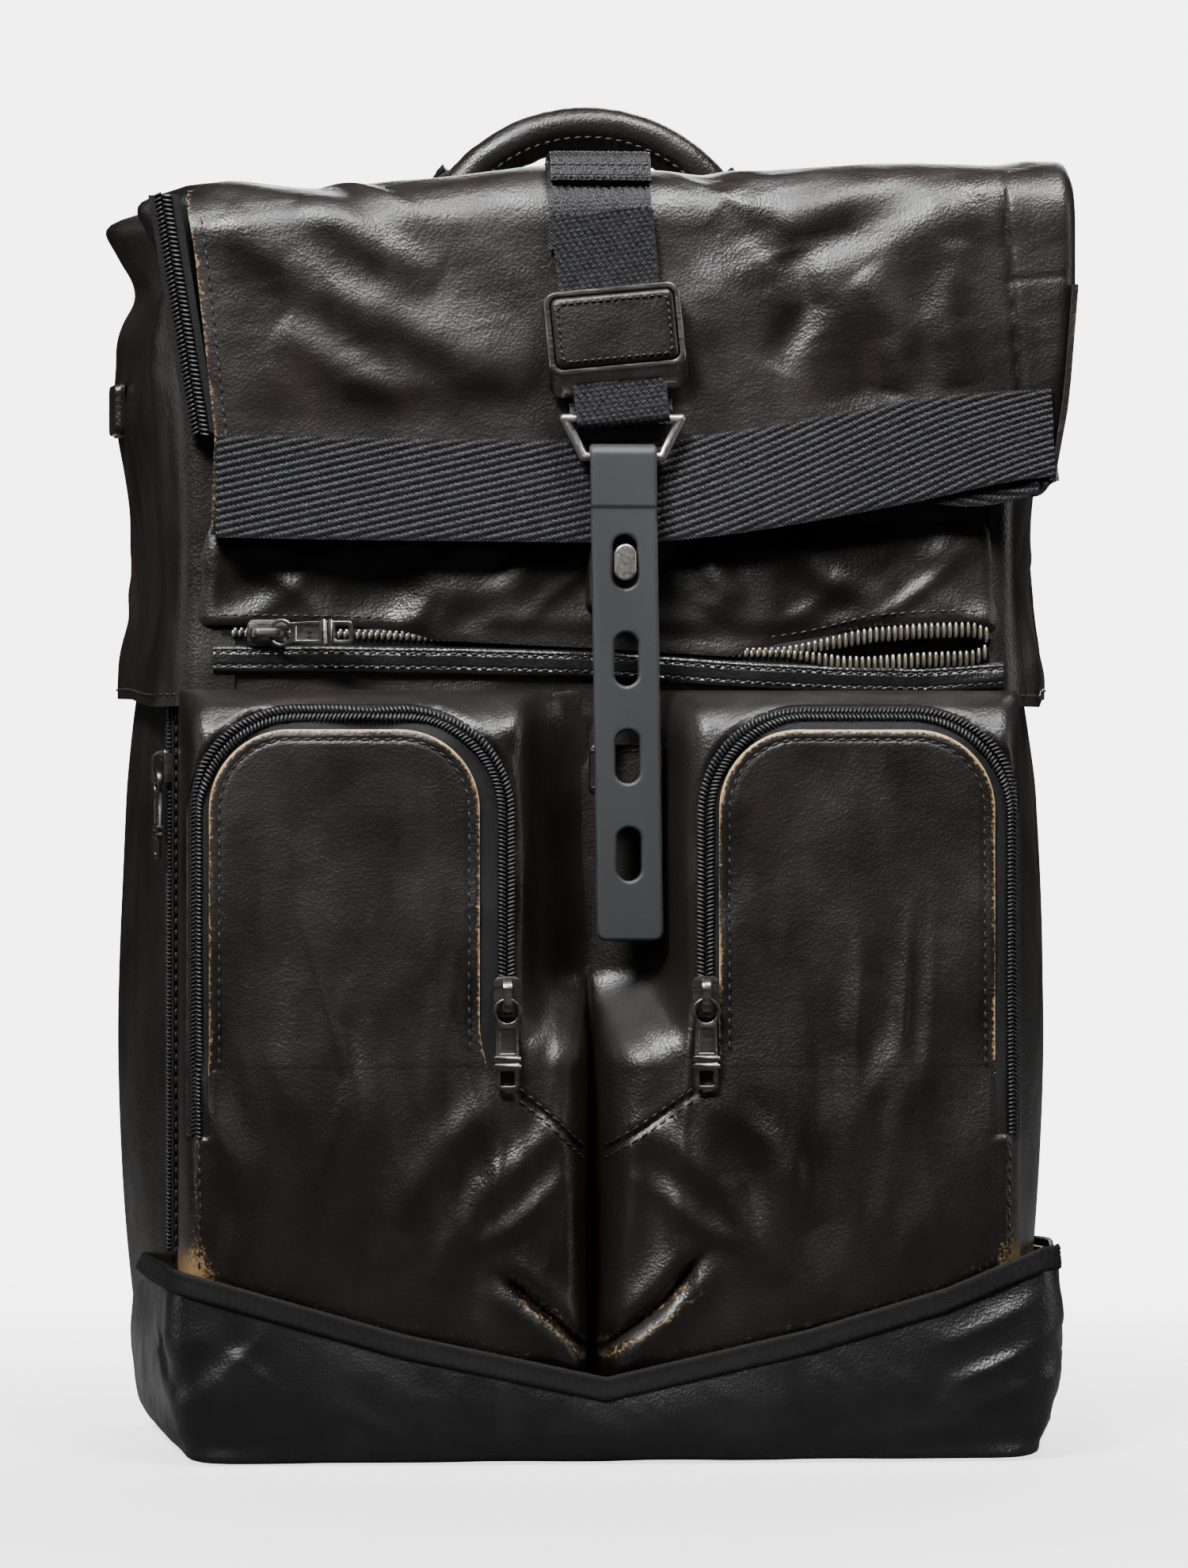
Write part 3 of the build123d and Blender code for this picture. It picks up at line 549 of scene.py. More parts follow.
BLACK = leather("black_leather", (0.0028, 0.0022, 0.0019), (0.0078, 0.0056, 0.0044), 0.385)
EDGE = leather("raw_edge", (0.2, 0.135, 0.07), (0.34, 0.23, 0.12), 0.75, grain=0.6)
BOOT = leather(
    "boot_leather", (0.0038, 0.0038, 0.0042), (0.008, 0.0077, 0.0078), 0.38, grain=0.5, scuffs=0.25
)
GLOSS = leather("welt_leather", (0.003, 0.003, 0.0032), (0.006, 0.006, 0.006), 0.27, grain=0.5, scuffs=0.1)
WEB = cloth("webbing", (0.0035, 0.0035, 0.004), (0.011, 0.011, 0.0125), 0.5, 420)
TAPE = cloth("zip_tape", (0.003, 0.003, 0.0033), (0.0075, 0.0075, 0.008), 0.65, 700)
COIL = dusty("zip_coil", (0.010, 0.010, 0.011), 0.36, (0.06, 0.055, 0.05))
THREAD = dusty("thread", (0.009, 0.008, 0.008), 0.5, (0.08, 0.07, 0.06))
LINING = cloth("lining", (0.02, 0.018, 0.016), (0.045, 0.04, 0.035), 0.7, 600)
MESH = cloth("spacer_mesh", (0.006, 0.006, 0.007), (0.026, 0.026, 0.029), 0.8, 330, 1.0, 0.0012)
NICKEL = metal("nickel", (0.42, 0.40, 0.37), (0.30, 0.285, 0.265), 0.33)
GUNMETAL = metal("gunmetal", (0.17, 0.16, 0.152), (0.105, 0.10, 0.096), 0.31, (0.1, 1, 1.6), 0.4)
TEETH = metal("brass_teeth", (0.44, 0.40, 0.34), (0.24, 0.20, 0.15), 0.34)
RUBBER = dusty("rubber", (0.013, 0.0135, 0.0145), 0.55, (0.12, 0.12, 0.115))
PLASTIC = dusty("plastic", (0.012, 0.012, 0.013), 0.4, (0.05, 0.05, 0.05))
BOARD = cloth("board", (0.05, 0.04, 0.03), (0.1, 0.085, 0.065), 0.8, 200)
PANEL = [BLACK, LINING, BLACK]


# ---------------------------------------------------------------- boot, its tape and its board
def boot_edge(x, y):
    """Height of the boot's top edge: it dips to the middle of the front and climbs more on the right."""
    front = np.interp(x, [-161, -74, 0, 74, 125, 161], [70, 45, 29, 46, 61, 76])
    side = 68 + ramp(-np.asarray(y, float), 10, 95) * np.interp(x, [-161, 0, 161], [2, 0, 8])
    return side + (front - side) * ramp(-np.asarray(y, float), 88, 98)


def boot_ring(step=1.6, grow=0.0):
    f, b = 161 + grow, 180 + grow
    y0, y1 = boot_lo[1] - grow, boot_hi[1] + grow
    corners = [(-f, y0), (f, y0), (b, y1), (-b, y1)]
    path = rounded_path(corners, [13, 13, 26, 26], step, closed=True)[:-1]
    path[:, 0] += 4.0 * (path[:, 0] / 165) ** 2 + 1.5 * path[:, 0] / 165
    return np.roll(path, len(path) // 3, 0)


def boot_swell(p, z, edge):
    """How far the boot's wall stands out from its plan at height z."""
    t = np.clip(z / edge, 0, 1)
    corner = ramp(np.hypot(np.abs(p[..., 0]) - 160, p[..., 1] + 100), 55, 8)
    swell = 2.2 * np.sin(np.pi * np.clip(t, 0, 1)) - 3.5 * (1 - t) ** 3 * (1 + 1.5 * corner)
    along = p[..., 0] + 0.9 * p[..., 1]
    creases = folds(along, z, 21, 15, 20, 2.6) * (0.5 + 1.6 * corner) + 0.7 * folds(along, z, 25, 9, -35, 3)
    return swell + creases * np.sin(np.pi * np.clip(t, 0, 1)) ** 0.5


ring = boot_ring()
edges = boot_edge(ring[:, 0], ring[:, 1])
rows = []
for k in np.linspace(0.0, 0.92, 14):
    rows.append(np.stack([ring[:, 0] * k, ring[:, 1] * k, np.full(len(ring), 0.35)], -1))
for a in np.linspace(0, math.pi / 2, 9):
    k = 1 - 12 * (1 - math.sin(a)) / 160
    z = np.full(len(ring), 0.35 + 12 * (1 - math.cos(a)))
    rows.append(np.stack([ring[:, 0] * k, ring[:, 1] * k, z], -1))
for t in np.linspace(0.03, 1, 40):
    rows.append(np.stack([ring[:, 0], ring[:, 1], 12.3 + (edges - 12.3) * t], -1))
P = np.array(rows).transpose(1, 0, 2)
wall = unit(grid_normals(P, closed=True) * np.array([1, 1, 0.0]))
out = boot_swell(P, P[..., 2], edges[:, None]) * ramp(P[..., 2], 0.5, 9)
P = P + wall * out[..., None]
P[..., 2] += 0.5 * (1 + noise(P, 30, 4)) * ramp(P[..., 2], 6, 0.5)
worn = 0.35 * ramp(P[..., 2], 9, 1) * (0.5 + 0.5 * noise(P, 25, 9))
piece(
    sheet("boot", P, 2.6, [BOOT, LINING, EDGE], closed=True, wear=worn), "bag", "boot_leather", "base_boot"
)

tape_ring = boot_ring(0.9)
tape_edge = boot_edge(tape_ring[:, 0], tape_ring[:, 1])
across = np.linspace(-5.5, 3.6, 13)
base = np.concatenate([tape_ring, tape_edge[:, None]], 1)
P = base[:, None] + across[None, :, None] * np.array([0, 0, 1.0])
out2 = unit(np.stack([np.gradient(tape_ring[:, 1]), -np.gradient(tape_ring[:, 0]), 0 * tape_edge], -1))
run = np.arange(len(tape_ring))[:, None]
lift = (
    0.7 + boot_swell(P, P[..., 2], tape_edge[:, None]) * 0.5 + 0.9 * soft(4.6 - np.abs(across + 0.95), 2.0)
)
lift = lift + 0.28 * np.sin(run * np.pi / 1.5 + across * 2.2) * np.sin(across * np.pi / 1.3)
P = P + out2[:, None] * lift[..., None]
piece(sheet("base_binding", P, 1.2, [TAPE], closed=True), "bag", "zip_tape", "base_tape")


# ---------------------------------------------------------------- front pockets
VALLEY_X = np.linspace(-20, 70, 361)
VALLEY = np.interp(
    VALLEY_X, [1, 8, 14, 19, 23.5, 27, 30, 34, 38], [0, 0.05, 0.13, 0.26, 0.44, 0.68, 0.87, 0.97, 1.0]
)
KERNEL = bell(np.arange(-40, 41) * 0.25, 2.4)
VALLEY = np.convolve(np.pad(VALLEY, 40, mode="edge"), KERNEL / KERNEL.sum(), mode="valid")


def pocket_y(x, z, side):
    """Depth of a pocket's leather at a distance x from the middle and height z; side is -1 or 1."""
    x, z = np.broadcast_arrays(np.asarray(x, float), np.asarray(z, float))
    low = ramp(z, 182, 146)
    inner = np.interp(x, VALLEY_X, VALLEY) * (1 - low) + soft(x - 0.8, 10 + 0.05 * z) * low
    form = inner * soft(POCKET_OUT + 1 - x, 11) * soft(POCKET_TOP + 1 - z, 22)
    above = z - boot_edge(x * side, -100)
    depth = (WALL_Y - 0.5 - FACE_Y) * form * (1 - 0.1 * np.exp(-np.maximum(above, 0) / 5))
    calm = 1 - np.exp(-(((x - 36.5) / 13) ** 2 + ((z - 165) / 22) ** 2))
    seed = 31 if side > 0 else 47
    bulge = 4.5 * np.exp(-(((x - 96) / 42) ** 2) - ((z - 130) / 75) ** 2)
    pleat = folds(x, z, seed, 15, 80 + 6 * side, 5) * 1.5 * ramp(z, 60, 95) * ramp(z, 235, 150)
    pleat = pleat + folds(x, z, seed + 5, 8, 97, 6) * 0.55 * ramp(z, 240, 120)
    drape = folds(x, z, seed + 8, 26, 62, 2.5) * 1.5 * ramp(z, 190, 120) * ramp(x, 10, 30)
    soft_lumps = 0.9 * noise(flat3(x, z), 38, seed + 3)
    dart = [(3, 42), (24, 58), (45, 74)] if side < 0 else [(3, 42), (22, 60), (40, 82)]
    gap, along = line_gap(x, z, dart)
    cut = (-4.6 * np.exp(-gap / 2.0) + 2.2 * bell(gap - 6, 5)) * ramp(1 - along, 0, 0.35)
    seam = fold_line(x, z, [(33, 137), (20, 127), (2, 113)], 1.4, -1.5, 0.2)
    fan = sum(
        fold_line(x, z, pts, w, h)
        for pts, w, h in [
            ([(12, 128), (45, 100), (64, 66)], 6, 2.6),
            ([(12, 108), (34, 88), (50, 80)], 4, 1.8),
            ([(34, 138), (60, 118), (78, 88)], 7, 2.0),
            ([(22, 240), (30, 215), (26, 190)], 5, 1.6 if side < 0 else 0.8),
            ([(8, 176), (20, 160), (30, 150)], 4, 2.0),
        ]
    )
    shoulder = ramp(z, 262, 280) * (1.6 * folds(x, z, seed + 9, 18, 10, 2.2))
    shoulder = shoulder + ramp(x, 62, 40) * ramp(z, 180, 215) * folds(x, z, seed + 12, 13, 78, 3) * 1.1
    if side < 0:
        shoulder = shoulder + fold_line(x, z, [(150, 281), (118, 279), (92, 283)], 4, 3.0)
        shoulder = shoulder + fold_line(x, z, [(108, 279), (86, 276), (60, 280)], 4, 3.0)
    life = (bulge + pleat + drape + soft_lumps + cut + seam + fan + shoulder) * calm
    return WALL_Y - 0.5 - depth - life * np.clip(form * 1.3, 0, 1) ** 2


def pocket_at(xz, side, lift=0.0):
    """Points and outward normals on a pocket's face; lift raises them off the leather."""
    x, z = xz[..., 0], xz[..., 1]
    y = pocket_y(x, z, side)
    slide = -4.0 * bell(x, 16)
    gx = (pocket_y(x + 0.6, z, side) - pocket_y(x - 0.6, z, side)) / 1.2
    gz = (pocket_y(x, z + 0.6, side) - pocket_y(x, z - 0.6, side)) / 1.2
    n = unit(np.stack([gx * side, -np.ones_like(y), gz], -1))
    return np.stack([x * side + slide, y, z], -1) + n * lift, n


def door_line(grow, low_in, low_out, step=1.5, count=None):
    """Path round a door's outline in x and z, grown outwards."""
    left, right, top, r = DOOR_IN - grow, DOOR_OUT + grow, DOOR_TOP + grow, DOOR_R + grow
    return rounded_path(
        [(left, low_in), (left, top), (right, top), (right, low_out)], [0, r, r, 0], step, count=count
    )


def inside_door(x, z, grow):
    """Signed distance to the grown door outline, negative inside."""
    cx, cz = (DOOR_IN + DOOR_OUT) / 2, DOOR_TOP / 2
    hx, hz, r = (DOOR_OUT - DOOR_IN) / 2 + grow, DOOR_TOP / 2 + grow, DOOR_R + grow
    qx, qz = np.abs(x - cx) - hx + r, np.abs(z - cz) - hz + r
    return np.hypot(np.maximum(qx, 0), np.maximum(qz, 0)) + np.minimum(np.maximum(qx, qz), 0) - r


OUTER_LEG = 121.0
SHOW = {-1: (-4.5, 0.5, -0.5), 1: (0.5, -1.5, -0.5)}  # door edge against the CAD door: inner, outer, top


def opening(x, z, side):
    """Signed distance to the cut in a pocket's leather that shows its zip and door."""
    main = np.maximum(inside_door(x, z, 8.8), SPLIT_Z - z)
    inner, outer = DOOR_OUT + SHOW[side][1], DOOR_OUT + 8.8
    leg = np.maximum(
        np.abs(x - (inner + outer) / 2) - (outer - inner) / 2, np.maximum(OUTER_LEG - z, z - SPLIT_Z - 4)
    )
    return np.minimum(main, leg)


for side, hand in ((-1, "left"), (1, "right")):
    xs = np.concatenate(
        [
            0.8 + 11 * (1 - np.cos(np.linspace(0, math.pi / 2, 16)))[:-1],
            np.arange(11.8, POCKET_OUT - 10.5, 1.15),
            POCKET_OUT + 1 - 11.5 * (1 - np.sin(np.linspace(0, math.pi / 2, 18))),
        ]
    )
    vs = np.concatenate(
        [np.linspace(0, 0.915, 196)[:-1], 0.915 + 0.085 * np.sin(np.linspace(0, math.pi / 2, 22))]
    )
    X = np.broadcast_to(xs[:, None], (len(xs), len(vs))).copy()
    low = boot_edge(X * side, -100) + 0.5
    Z = low + (POCKET_TOP + 1 - low) * vs
    sd = opening(X, Z, side)
    gx, gz = (opening(X + 0.05, Z, side) - sd) / 0.05, (opening(X, Z + 0.05, side) - sd) / 0.05
    near = (np.abs(sd) < 0.75) & (X > 5)
    X[near] -= (sd * gx)[near]
    Z[near] -= (sd * gz)[near]
    middle = lambda a: (a[1:, 1:] + a[:-1, 1:] + a[1:, :-1] + a[:-1, :-1]) / 4
    keep = opening(middle(X), middle(Z), side) > -0.05
    Y = pocket_y(X, Z, side)
    rim = np.abs(opening(X, Z, side))
    curb = 0.7 * bell(rim, 0.8) - 0.35 * bell(rim - 2.2, 1.5)
    Y = Y + curb * np.maximum(ramp(Z, SPLIT_Z, SPLIT_Z + 8), ramp(X, DOOR_OUT - 4, DOOR_OUT))
    corner = np.hypot(X - 153, (Z - 70) * 0.8)
    dart = line_gap(X, Z, [(3, 42), (45, 74)])[0]
    worn = 0.6 * bell(corner, 8) + 0.5 * bell(dart - 2.5, 2) * ramp(X, 55, 20)
    worn = worn + 0.3 * bell(Z - low, 10) * ramp(X, 12, 30) + 0.3 * bell(X - 150, 4) * (Z < 200)
    P = np.stack([X * side - 4.0 * bell(X, 16), Y, Z], -1)
    flange = P[-1:] + np.array([0.7 * side, 7.5, 0])
    P, worn = np.concatenate([P, flange]), np.concatenate([worn, worn[-1:]])
    keep = np.concatenate([keep, keep[-1:] | True])
    shell = sheet(f"{hand}_pocket_leather", P, 1.8, [BLACK, LINING], keep=keep, flip=side < 0, wear=worn)
    piece(shell, "bag", "black_leather", f"{hand}_pocket")

    in_grow, out_grow, top_grow = SHOW[side]
    zt = DOOR_TOP + top_grow
    r = DOOR_R + top_grow - 2
    vs = np.concatenate(
        [np.linspace(SPLIT_Z - 2.5, zt - r, 100)[:-1], zt - r + r * np.sin(np.linspace(0, math.pi / 2, 40))]
    )
    inset = np.where(vs > zt - r, r - np.sqrt(np.maximum(r * r - (vs - zt + r) ** 2, 0)), 0)
    inset = np.minimum(inset, r - 0.2)
    x0, x1 = DOOR_IN - in_grow + inset, DOOR_OUT + out_grow - inset
    flare = -0.67 * in_grow * ramp(vs, SPLIT_Z + 22, SPLIT_Z - 4) ** 2
    us = np.concatenate(
        [
            0.03 * (1 - np.cos(np.linspace(0, math.pi / 2, 7)))[:-1],
            np.linspace(0.03, 0.97, 84),
            1 - 0.03 * (1 - np.cos(np.linspace(math.pi / 2, 0, 7)))[1:],
        ]
    )
    X = (x0 - flare)[None] + us[:, None] * (x1 - x0 + flare)[None]
    Z = np.broadcast_to(vs, X.shape)
    sd = np.minimum(
        np.minimum(us, 1 - us)[:, None] * (x1 - x0)[None],
        np.where(
            Z > zt - r,
            r - np.hypot(np.maximum(r - (X - x0.min()), r - (x1.max() - X)).clip(0), Z - zt + r),
            99,
        ),
    )
    lip = 1.15 * soft(sd + 0.2, 1.6) * (1 - 0.55 * ramp(sd, 2, 26)) * ramp(Z, SPLIT_Z - 1, SPLIT_Z + 60)
    lip = lip - 0.45 * bell(sd - 3.8, 0.8) * ramp(Z, SPLIT_Z, SPLIT_Z + 12)
    tuck = 0.3 * ramp(Z, SPLIT_Z + 1, SPLIT_Z - 2)
    Y = pocket_y(X, Z, side) - lip + tuck
    worn = np.exp(-sd / 1.1) * (
        0.85 + 0.45 * noise(flat3(X, Z), 22, 5 + side)
    ) * ramp(Z, SPLIT_Z - 4, SPLIT_Z + 6)
    worn = worn + 0.45 * np.exp(-sd / 0.9) * ramp(Z, 215, 255)
    door = sheet(
        f"{hand}_door_leather",
        np.stack([X * side, Y, Z], -1),
        2.2,
        [BLACK, LINING, EDGE],
        flip=side < 0,
        wear=worn,
        edge_wear=0.8,
    )
    bend = ("bag", f"{hand}_door", (93 * side, FACE_Y, DOOR_FOOT - 3), (93 * side, FACE_Y, DOOR_FOOT + 22))
    piece(door, None, "black_leather", f"{hand}_pocket_door", bend=bend)
    left, right = DOOR_IN - in_grow + 3.8, DOOR_OUT + out_grow - 3.8
    line = rounded_path(
        [(left, SPLIT_Z + 8), (left, zt - 3.8), (right, zt - 3.8), (right, SPLIT_Z + 2)],
        [0, r - 3.8, r - 3.8, 0],
        1.0,
    )
    run = pocket_at(line, side, 0.7)
    piece(stitches(f"{hand}_door_stitches", [run], THREAD), None, "black_leather", bend=bend)

    count = 420
    lanes = []
    for g in np.linspace(-6.5, 9.6, 15):
        line = door_line(g, SPLIT_Z - 4, OUTER_LEG - 3, count=count)
        p, n = pocket_at(line, side)
        sink = 1.3 + (0.5 if abs(g - ZIP_RUN) < 0.6 else 0.0)
        lanes.append(p - n * sink)
    P = np.array(lanes).transpose(1, 0, 2)
    tape = sheet(f"{hand}_zip_tape", P, 0.5, [TAPE], flip=side > 0)
    piece(tape, "bag", "zip_tape", f"{hand}_pocket_zip")
    line = door_line(ZIP_RUN, 168, OUTER_LEG + 1, 1.0)
    p, n = pocket_at(line, side, -0.8)
    piece(coil(f"{hand}_zip_coil", p, n, COIL), "bag", "zip_tape")

    rows = []
    for off in (-1.0, 1.0):
        line = resample(
            np.array([(33, 137.0 + off * 2.4), (20, 127.0 + off * 2.4), (2, 113.0 + off * 2.4)]), 1.0
        )
        rows.append(pocket_at(line[3:-3], side, 0.1))
    line = resample(
        np.array([(DOOR_OUT + 4, OUTER_LEG - 4), (DOOR_OUT + 3.5, 96), (DOOR_OUT + 4, 74)]), 1.0
    )
    rows.append(pocket_at(line, side, 0.1))
    piece(stitches(f"{hand}_pocket_stitches", rows, THREAD), "bag", "black_leather")


# ---------------------------------------------------------------- front wall, front zip and welt
def wall_y(x, z):
    """Depth of the front wall's leather."""
    x, z = np.broadcast_arrays(np.asarray(x, float), np.asarray(z, float))
    show = ramp(z, 303, 312) * ramp(z, 352, 336)
    wave = 2.6 * folds(x, z, 61, 24, -28, 2.4) + 1.4 * folds(x, z, 66, 13, 35, 2.5)
    dents = (
        fold_line(x, z, [(38, 338), (46, 322), (40, 313)], 6, 3.2)
        + fold_line(x, z, [(70, 342), (84, 326), (110, 318)], 6, 2.4)
    )
    dents = dents + fold_line(x, z, [(-20, 340), (-34, 324), (-60, 316)], 6, 2.2)
    low = ramp(z, 300, 285) * 0.8 * folds(x, z, 63, 16, 5, 3)
    return WALL_Y - 0.6 - show * (wave + dents + 1.5) - low


def zip_mid(x):
    """Height of the front zip's middle line, which sags towards the right of the middle."""
    return np.interp(
        x, [-150, -100, -50, 0, 50, 90, 120, 150], [306.5, 306, 304.5, 302, 299, 299.5, 302, 303]
    )


def gape(x):
    """How far the zip's upper row is pulled away near its right end."""
    return 4.0 * ramp(x, 66, 104) * ramp(x, 151, 138)


def welt_z(x):
    """Height of the welt's middle."""
    return np.interp(
        x, [-150, -100, -50, 0, 50, 90, 120, 152], [296.5, 296.5, 295.8, 294.5, 291.0, 289.0, 288.5, 290.5]
    )


xs = np.arange(-151, 151.1, 1.4)
zs = np.linspace(0, 1, 76)
droop = ramp(xs, -84, -56) * ramp(xs, 72, 44)
low_edge = zip_mid(xs) + 2.6 + 1.35 * gape(xs) - 4.2 * droop
Z = low_edge[:, None] + (wall_hi[2] - low_edge)[:, None] * zs
X = np.broadcast_to(xs[:, None], Z.shape)
Y = wall_y(X, Z) - 1.2 * np.exp(-(Z - low_edge[:, None]) / 8) + 0.9 * np.exp(-(Z - low_edge[:, None]) / 0.8)
Y = Y - 2.6 * droop[:, None] * np.exp(-(Z - low_edge[:, None]) / 9)
P = np.stack([X, Y, Z], -1)
curve = np.clip(np.abs(X) - 143, 0, None)
P[..., 1] += curve**2 / 12
piece(sheet("front_leather", P, 1.8, PANEL), "bag", "black_leather", "front_wall")
Z = 18 + (welt_z(xs) - 18)[:, None] * np.linspace(0, 1, 150)
X = np.broadcast_to(xs[:, None], Z.shape)
P = np.stack([X, wall_y(X, Z) + curve[:, :1] ** 2 / 12, Z], -1)
piece(sheet("front_lower_leather", P, 1.8, PANEL), "bag", "black_leather")

tx = np.arange(-141, 148.1, 1.5)
for tag, offs in (("upper", np.linspace(0.2, 9.5, 7)), ("lower", np.linspace(-9.5, -0.2, 7))):
    push = gape(tx) if tag == "upper" else -1.1 * gape(tx)
    Z = zip_mid(tx)[:, None] + offs[None] + push[:, None]
    X = np.broadcast_to(tx[:, None], Z.shape)
    Y = WALL_Y - 1.0 - 1.0 * ramp(np.abs(offs[None]), 5, 0) - 0.2 * gape(tx)[:, None] + 0 * Z
    tape = sheet(f"front_tape_{tag}", np.stack([X, Y, Z], -1), 0.6, [TAPE])
    piece(tape, "bag", "zip_tape", *(["front_zip_tape"] if tag == "upper" else []))
teeth, tall = [], []
for s in (1, -1):
    px = np.arange(-136.5 + (0.65 if s > 0 else 0), 145, 2.3)
    size = 0.55 + 0.75 * ramp(px, 60, 100)
    pz = zip_mid(px) + s * 0.9 * size + (gape(px) if s > 0 else -1.1 * gape(px))
    teeth.append(np.stack([px, WALL_Y - 2.3 - 0.25 * gape(px), pz], -1))
    tall.append(size)
where, tall = np.concatenate(teeth), np.concatenate(tall)
tip = scatter(
    "front_teeth",
    where,
    flat3(0.7 + 0 * tall, 0, 0),
    flat3(0, 1.2 * tall, 0),
    flat3(0, 0, 2.3 * tall),
    TEETH,
    levels=2,
    block=0.55,
)
piece(tip, "bag", "brass_teeth", "front_zip_teeth")

wx = np.arange(-144, 152.1, 1.3)
wv = np.linspace(-5.2, 5.2, 25)
Z = welt_z(wx)[:, None] + wv[None]
X = np.broadcast_to(wx[:, None], Z.shape)
Y = wall_y(X, Z) - 0.6 - 3.0 * soft(5.3 - np.abs(wv), 2.6)[None] + 0.45 * bell(np.abs(wv) - 2.6, 0.5)[None]
Y = Y + 0.25 * noise(flat3(X, Z), 9, 8)
piece(sheet("front_welt", np.stack([X, Y, Z], -1), 2.0, [GLOSS]), "bag", "black_leather", "front_zip_welt")
rows = []
for off in (-2.6, 2.6):
    sx = np.arange(-142, 150.1, 2.0)
    sz = welt_z(sx) + off
    rows.append((np.stack([sx, wall_y(sx, sz) - 3.3, sz], -1), flat3(0 * sx, -1, 0)))
sx = np.arange(-140, 140.1, 2.0)
sz = zip_mid(sx) + 6.4 + 1.5 * gape(sx) - 3.0 * ramp(sx, -84, -56) * ramp(sx, 72, 44)
rows.append((np.stack([sx, wall_y(sx, sz) - 0.6, sz], -1), flat3(0 * sx, -1, 0)))
piece(stitches("front_stitches", rows, THREAD, pitch=3.8, length=2.9), "bag", "black_leather")


# ---------------------------------------------------------------- sides
def side_plan(step=1.6, start=144.0):
    """Plan of the right side, from the front wall round to the back panel."""
    return rounded_path([(start, -65), (155, -65), (176, 65), (150, 65)], [0, 8, 23, 0], step)


def side_grid(z0, z1, nz, offset, start=144.0):
    """Grid of a side's leather, pushed out from the plan by offset."""
    path = side_plan(start=start)
    t = unit(np.gradient(path, axis=0))
    n = np.stack([t[:, 1], -t[:, 0]], -1)
    z = np.linspace(z0, z1, nz)
    X, Zg = np.broadcast_arrays(path[:, None, 0], z[None])
    Yg = np.broadcast_to(path[:, None, 1], Zg.shape)
    o = offset(Yg, Zg)
    return np.stack([X + n[:, None, 0] * o, Yg + n[:, None, 1] * o, Zg], -1)


def lower_swell(y, z, seed):
    mid = np.sin(np.pi * np.clip((z - 30) / 262, 0, 1)) ** 0.7
    calm = 1 - bell(y + 46, 10) * (seed == 71)
    return (9 * ramp(y, -58, 5) * mid * ramp(y, 66, 40) + 0.8 * folds(y, z, seed, 30, 80, 3)) * calm


def upper_swell(y, z, seed):
    hem = 5.5 * bell(z - 283, 26)
    waist = 4.0
    top = 13.0 * ramp(z, 345, 440)
    belly = -20.0 * ramp(z, 385, 462) * bell(y, 27)
    curl = -22.0 * (ramp(z, 455, 474) if seed > 80 else ramp(z, 463, 477)) ** 2
    edge = ramp(np.abs(y), 64, 46)
    rough = 2.6 * folds(y, z, seed, 28, 70, 2.5, 0.1) + 0.9 * folds(y, z, seed + 3, 14, 30, 2.5, 0.1)
    if seed < 80:
        top = 6.0 * ramp(z, 345, 405) - 6.0 * bell(z - 440, 12) + 5.5 * bell(z - 466, 9)
    return (
        (hem + waist + top + belly + rough * ramp(z, 280, 300)) * (0.25 + 0.75 * edge)
        + curl * (0.4 + 0.6 * edge)
    )


for side, hand, seed in ((-1, "left", 71), (1, "right", 83)):
    P = side_grid(16, 287, 130, lambda y, z: lower_swell(y, z, seed))
    P[..., 0] *= side
    lower = sheet(f"{hand}_side_leather", P, 1.8, PANEL, flip=side < 0)
    piece(lower, "bag", "black_leather", f"{hand}_side_panel")
    P = side_grid(283, 473, 110, lambda y, z: upper_swell(y, z, seed + 4), 136.0 if side < 0 else 146.0)
    P[..., 0] *= side
    P[..., 2] += 4.0 * ramp(P[..., 2], 295, 283) * ramp(P[..., 1], 20, -50) * -1.0
    upper = sheet(f"{hand}_gusset_leather", P, 1.8, PANEL, flip=side < 0, edge_wear=0.1)
    piece(upper, "bag", "black_leather", f"{hand}_gusset")
    n = grid_normals(P) * side
    piece(stitches(f"{hand}_hem_stitches", [(P[:, 2], n[:, 2])], THREAD), "bag", "black_leather")

path = side_plan(1.0)
k = int(np.argmin(np.abs(path[:, 1] + 46) + (path[:, 0] < 150) * 99))
spot, tang = path[k], unit(path[k + 3] - path[k - 3])
outward = np.array([-tang[1], -tang[0], 0.0])
along_side = np.array([-tang[0], tang[1], 0.0])
zz = np.arange(76, 280, 1.0)
centre = np.stack([np.full(len(zz), -spot[0]), np.full(len(zz), spot[1]), zz], -1)
grid = centre[:, None] + along_side * np.linspace(-7.5, 7.5, 11)[None, :, None] + outward * 1.7
piece(sheet("side_zip_tape", grid, 0.5, [TAPE], flip=True), "bag", "zip_tape", "side_zip")
piece(
    coil("side_zip_coil", centre + outward * 2.0, np.broadcast_to(outward, centre.shape), COIL),
    "bag",
    "zip_tape",
)
rows = [(centre + along_side * o + outward, np.broadcast_to(outward, centre.shape)) for o in (-8.5, 8.5)]
piece(stitches("side_zip_stitches", rows, THREAD), "bag", "black_leather")


# ---------------------------------------------------------------- roll top
def foot_z(x):
    return flap_lo[2] + 16 * ramp(x, 5, 168)


FLAP_Y = flap_lo[1]
TOP_Z = crown_hi[2] + 0.5


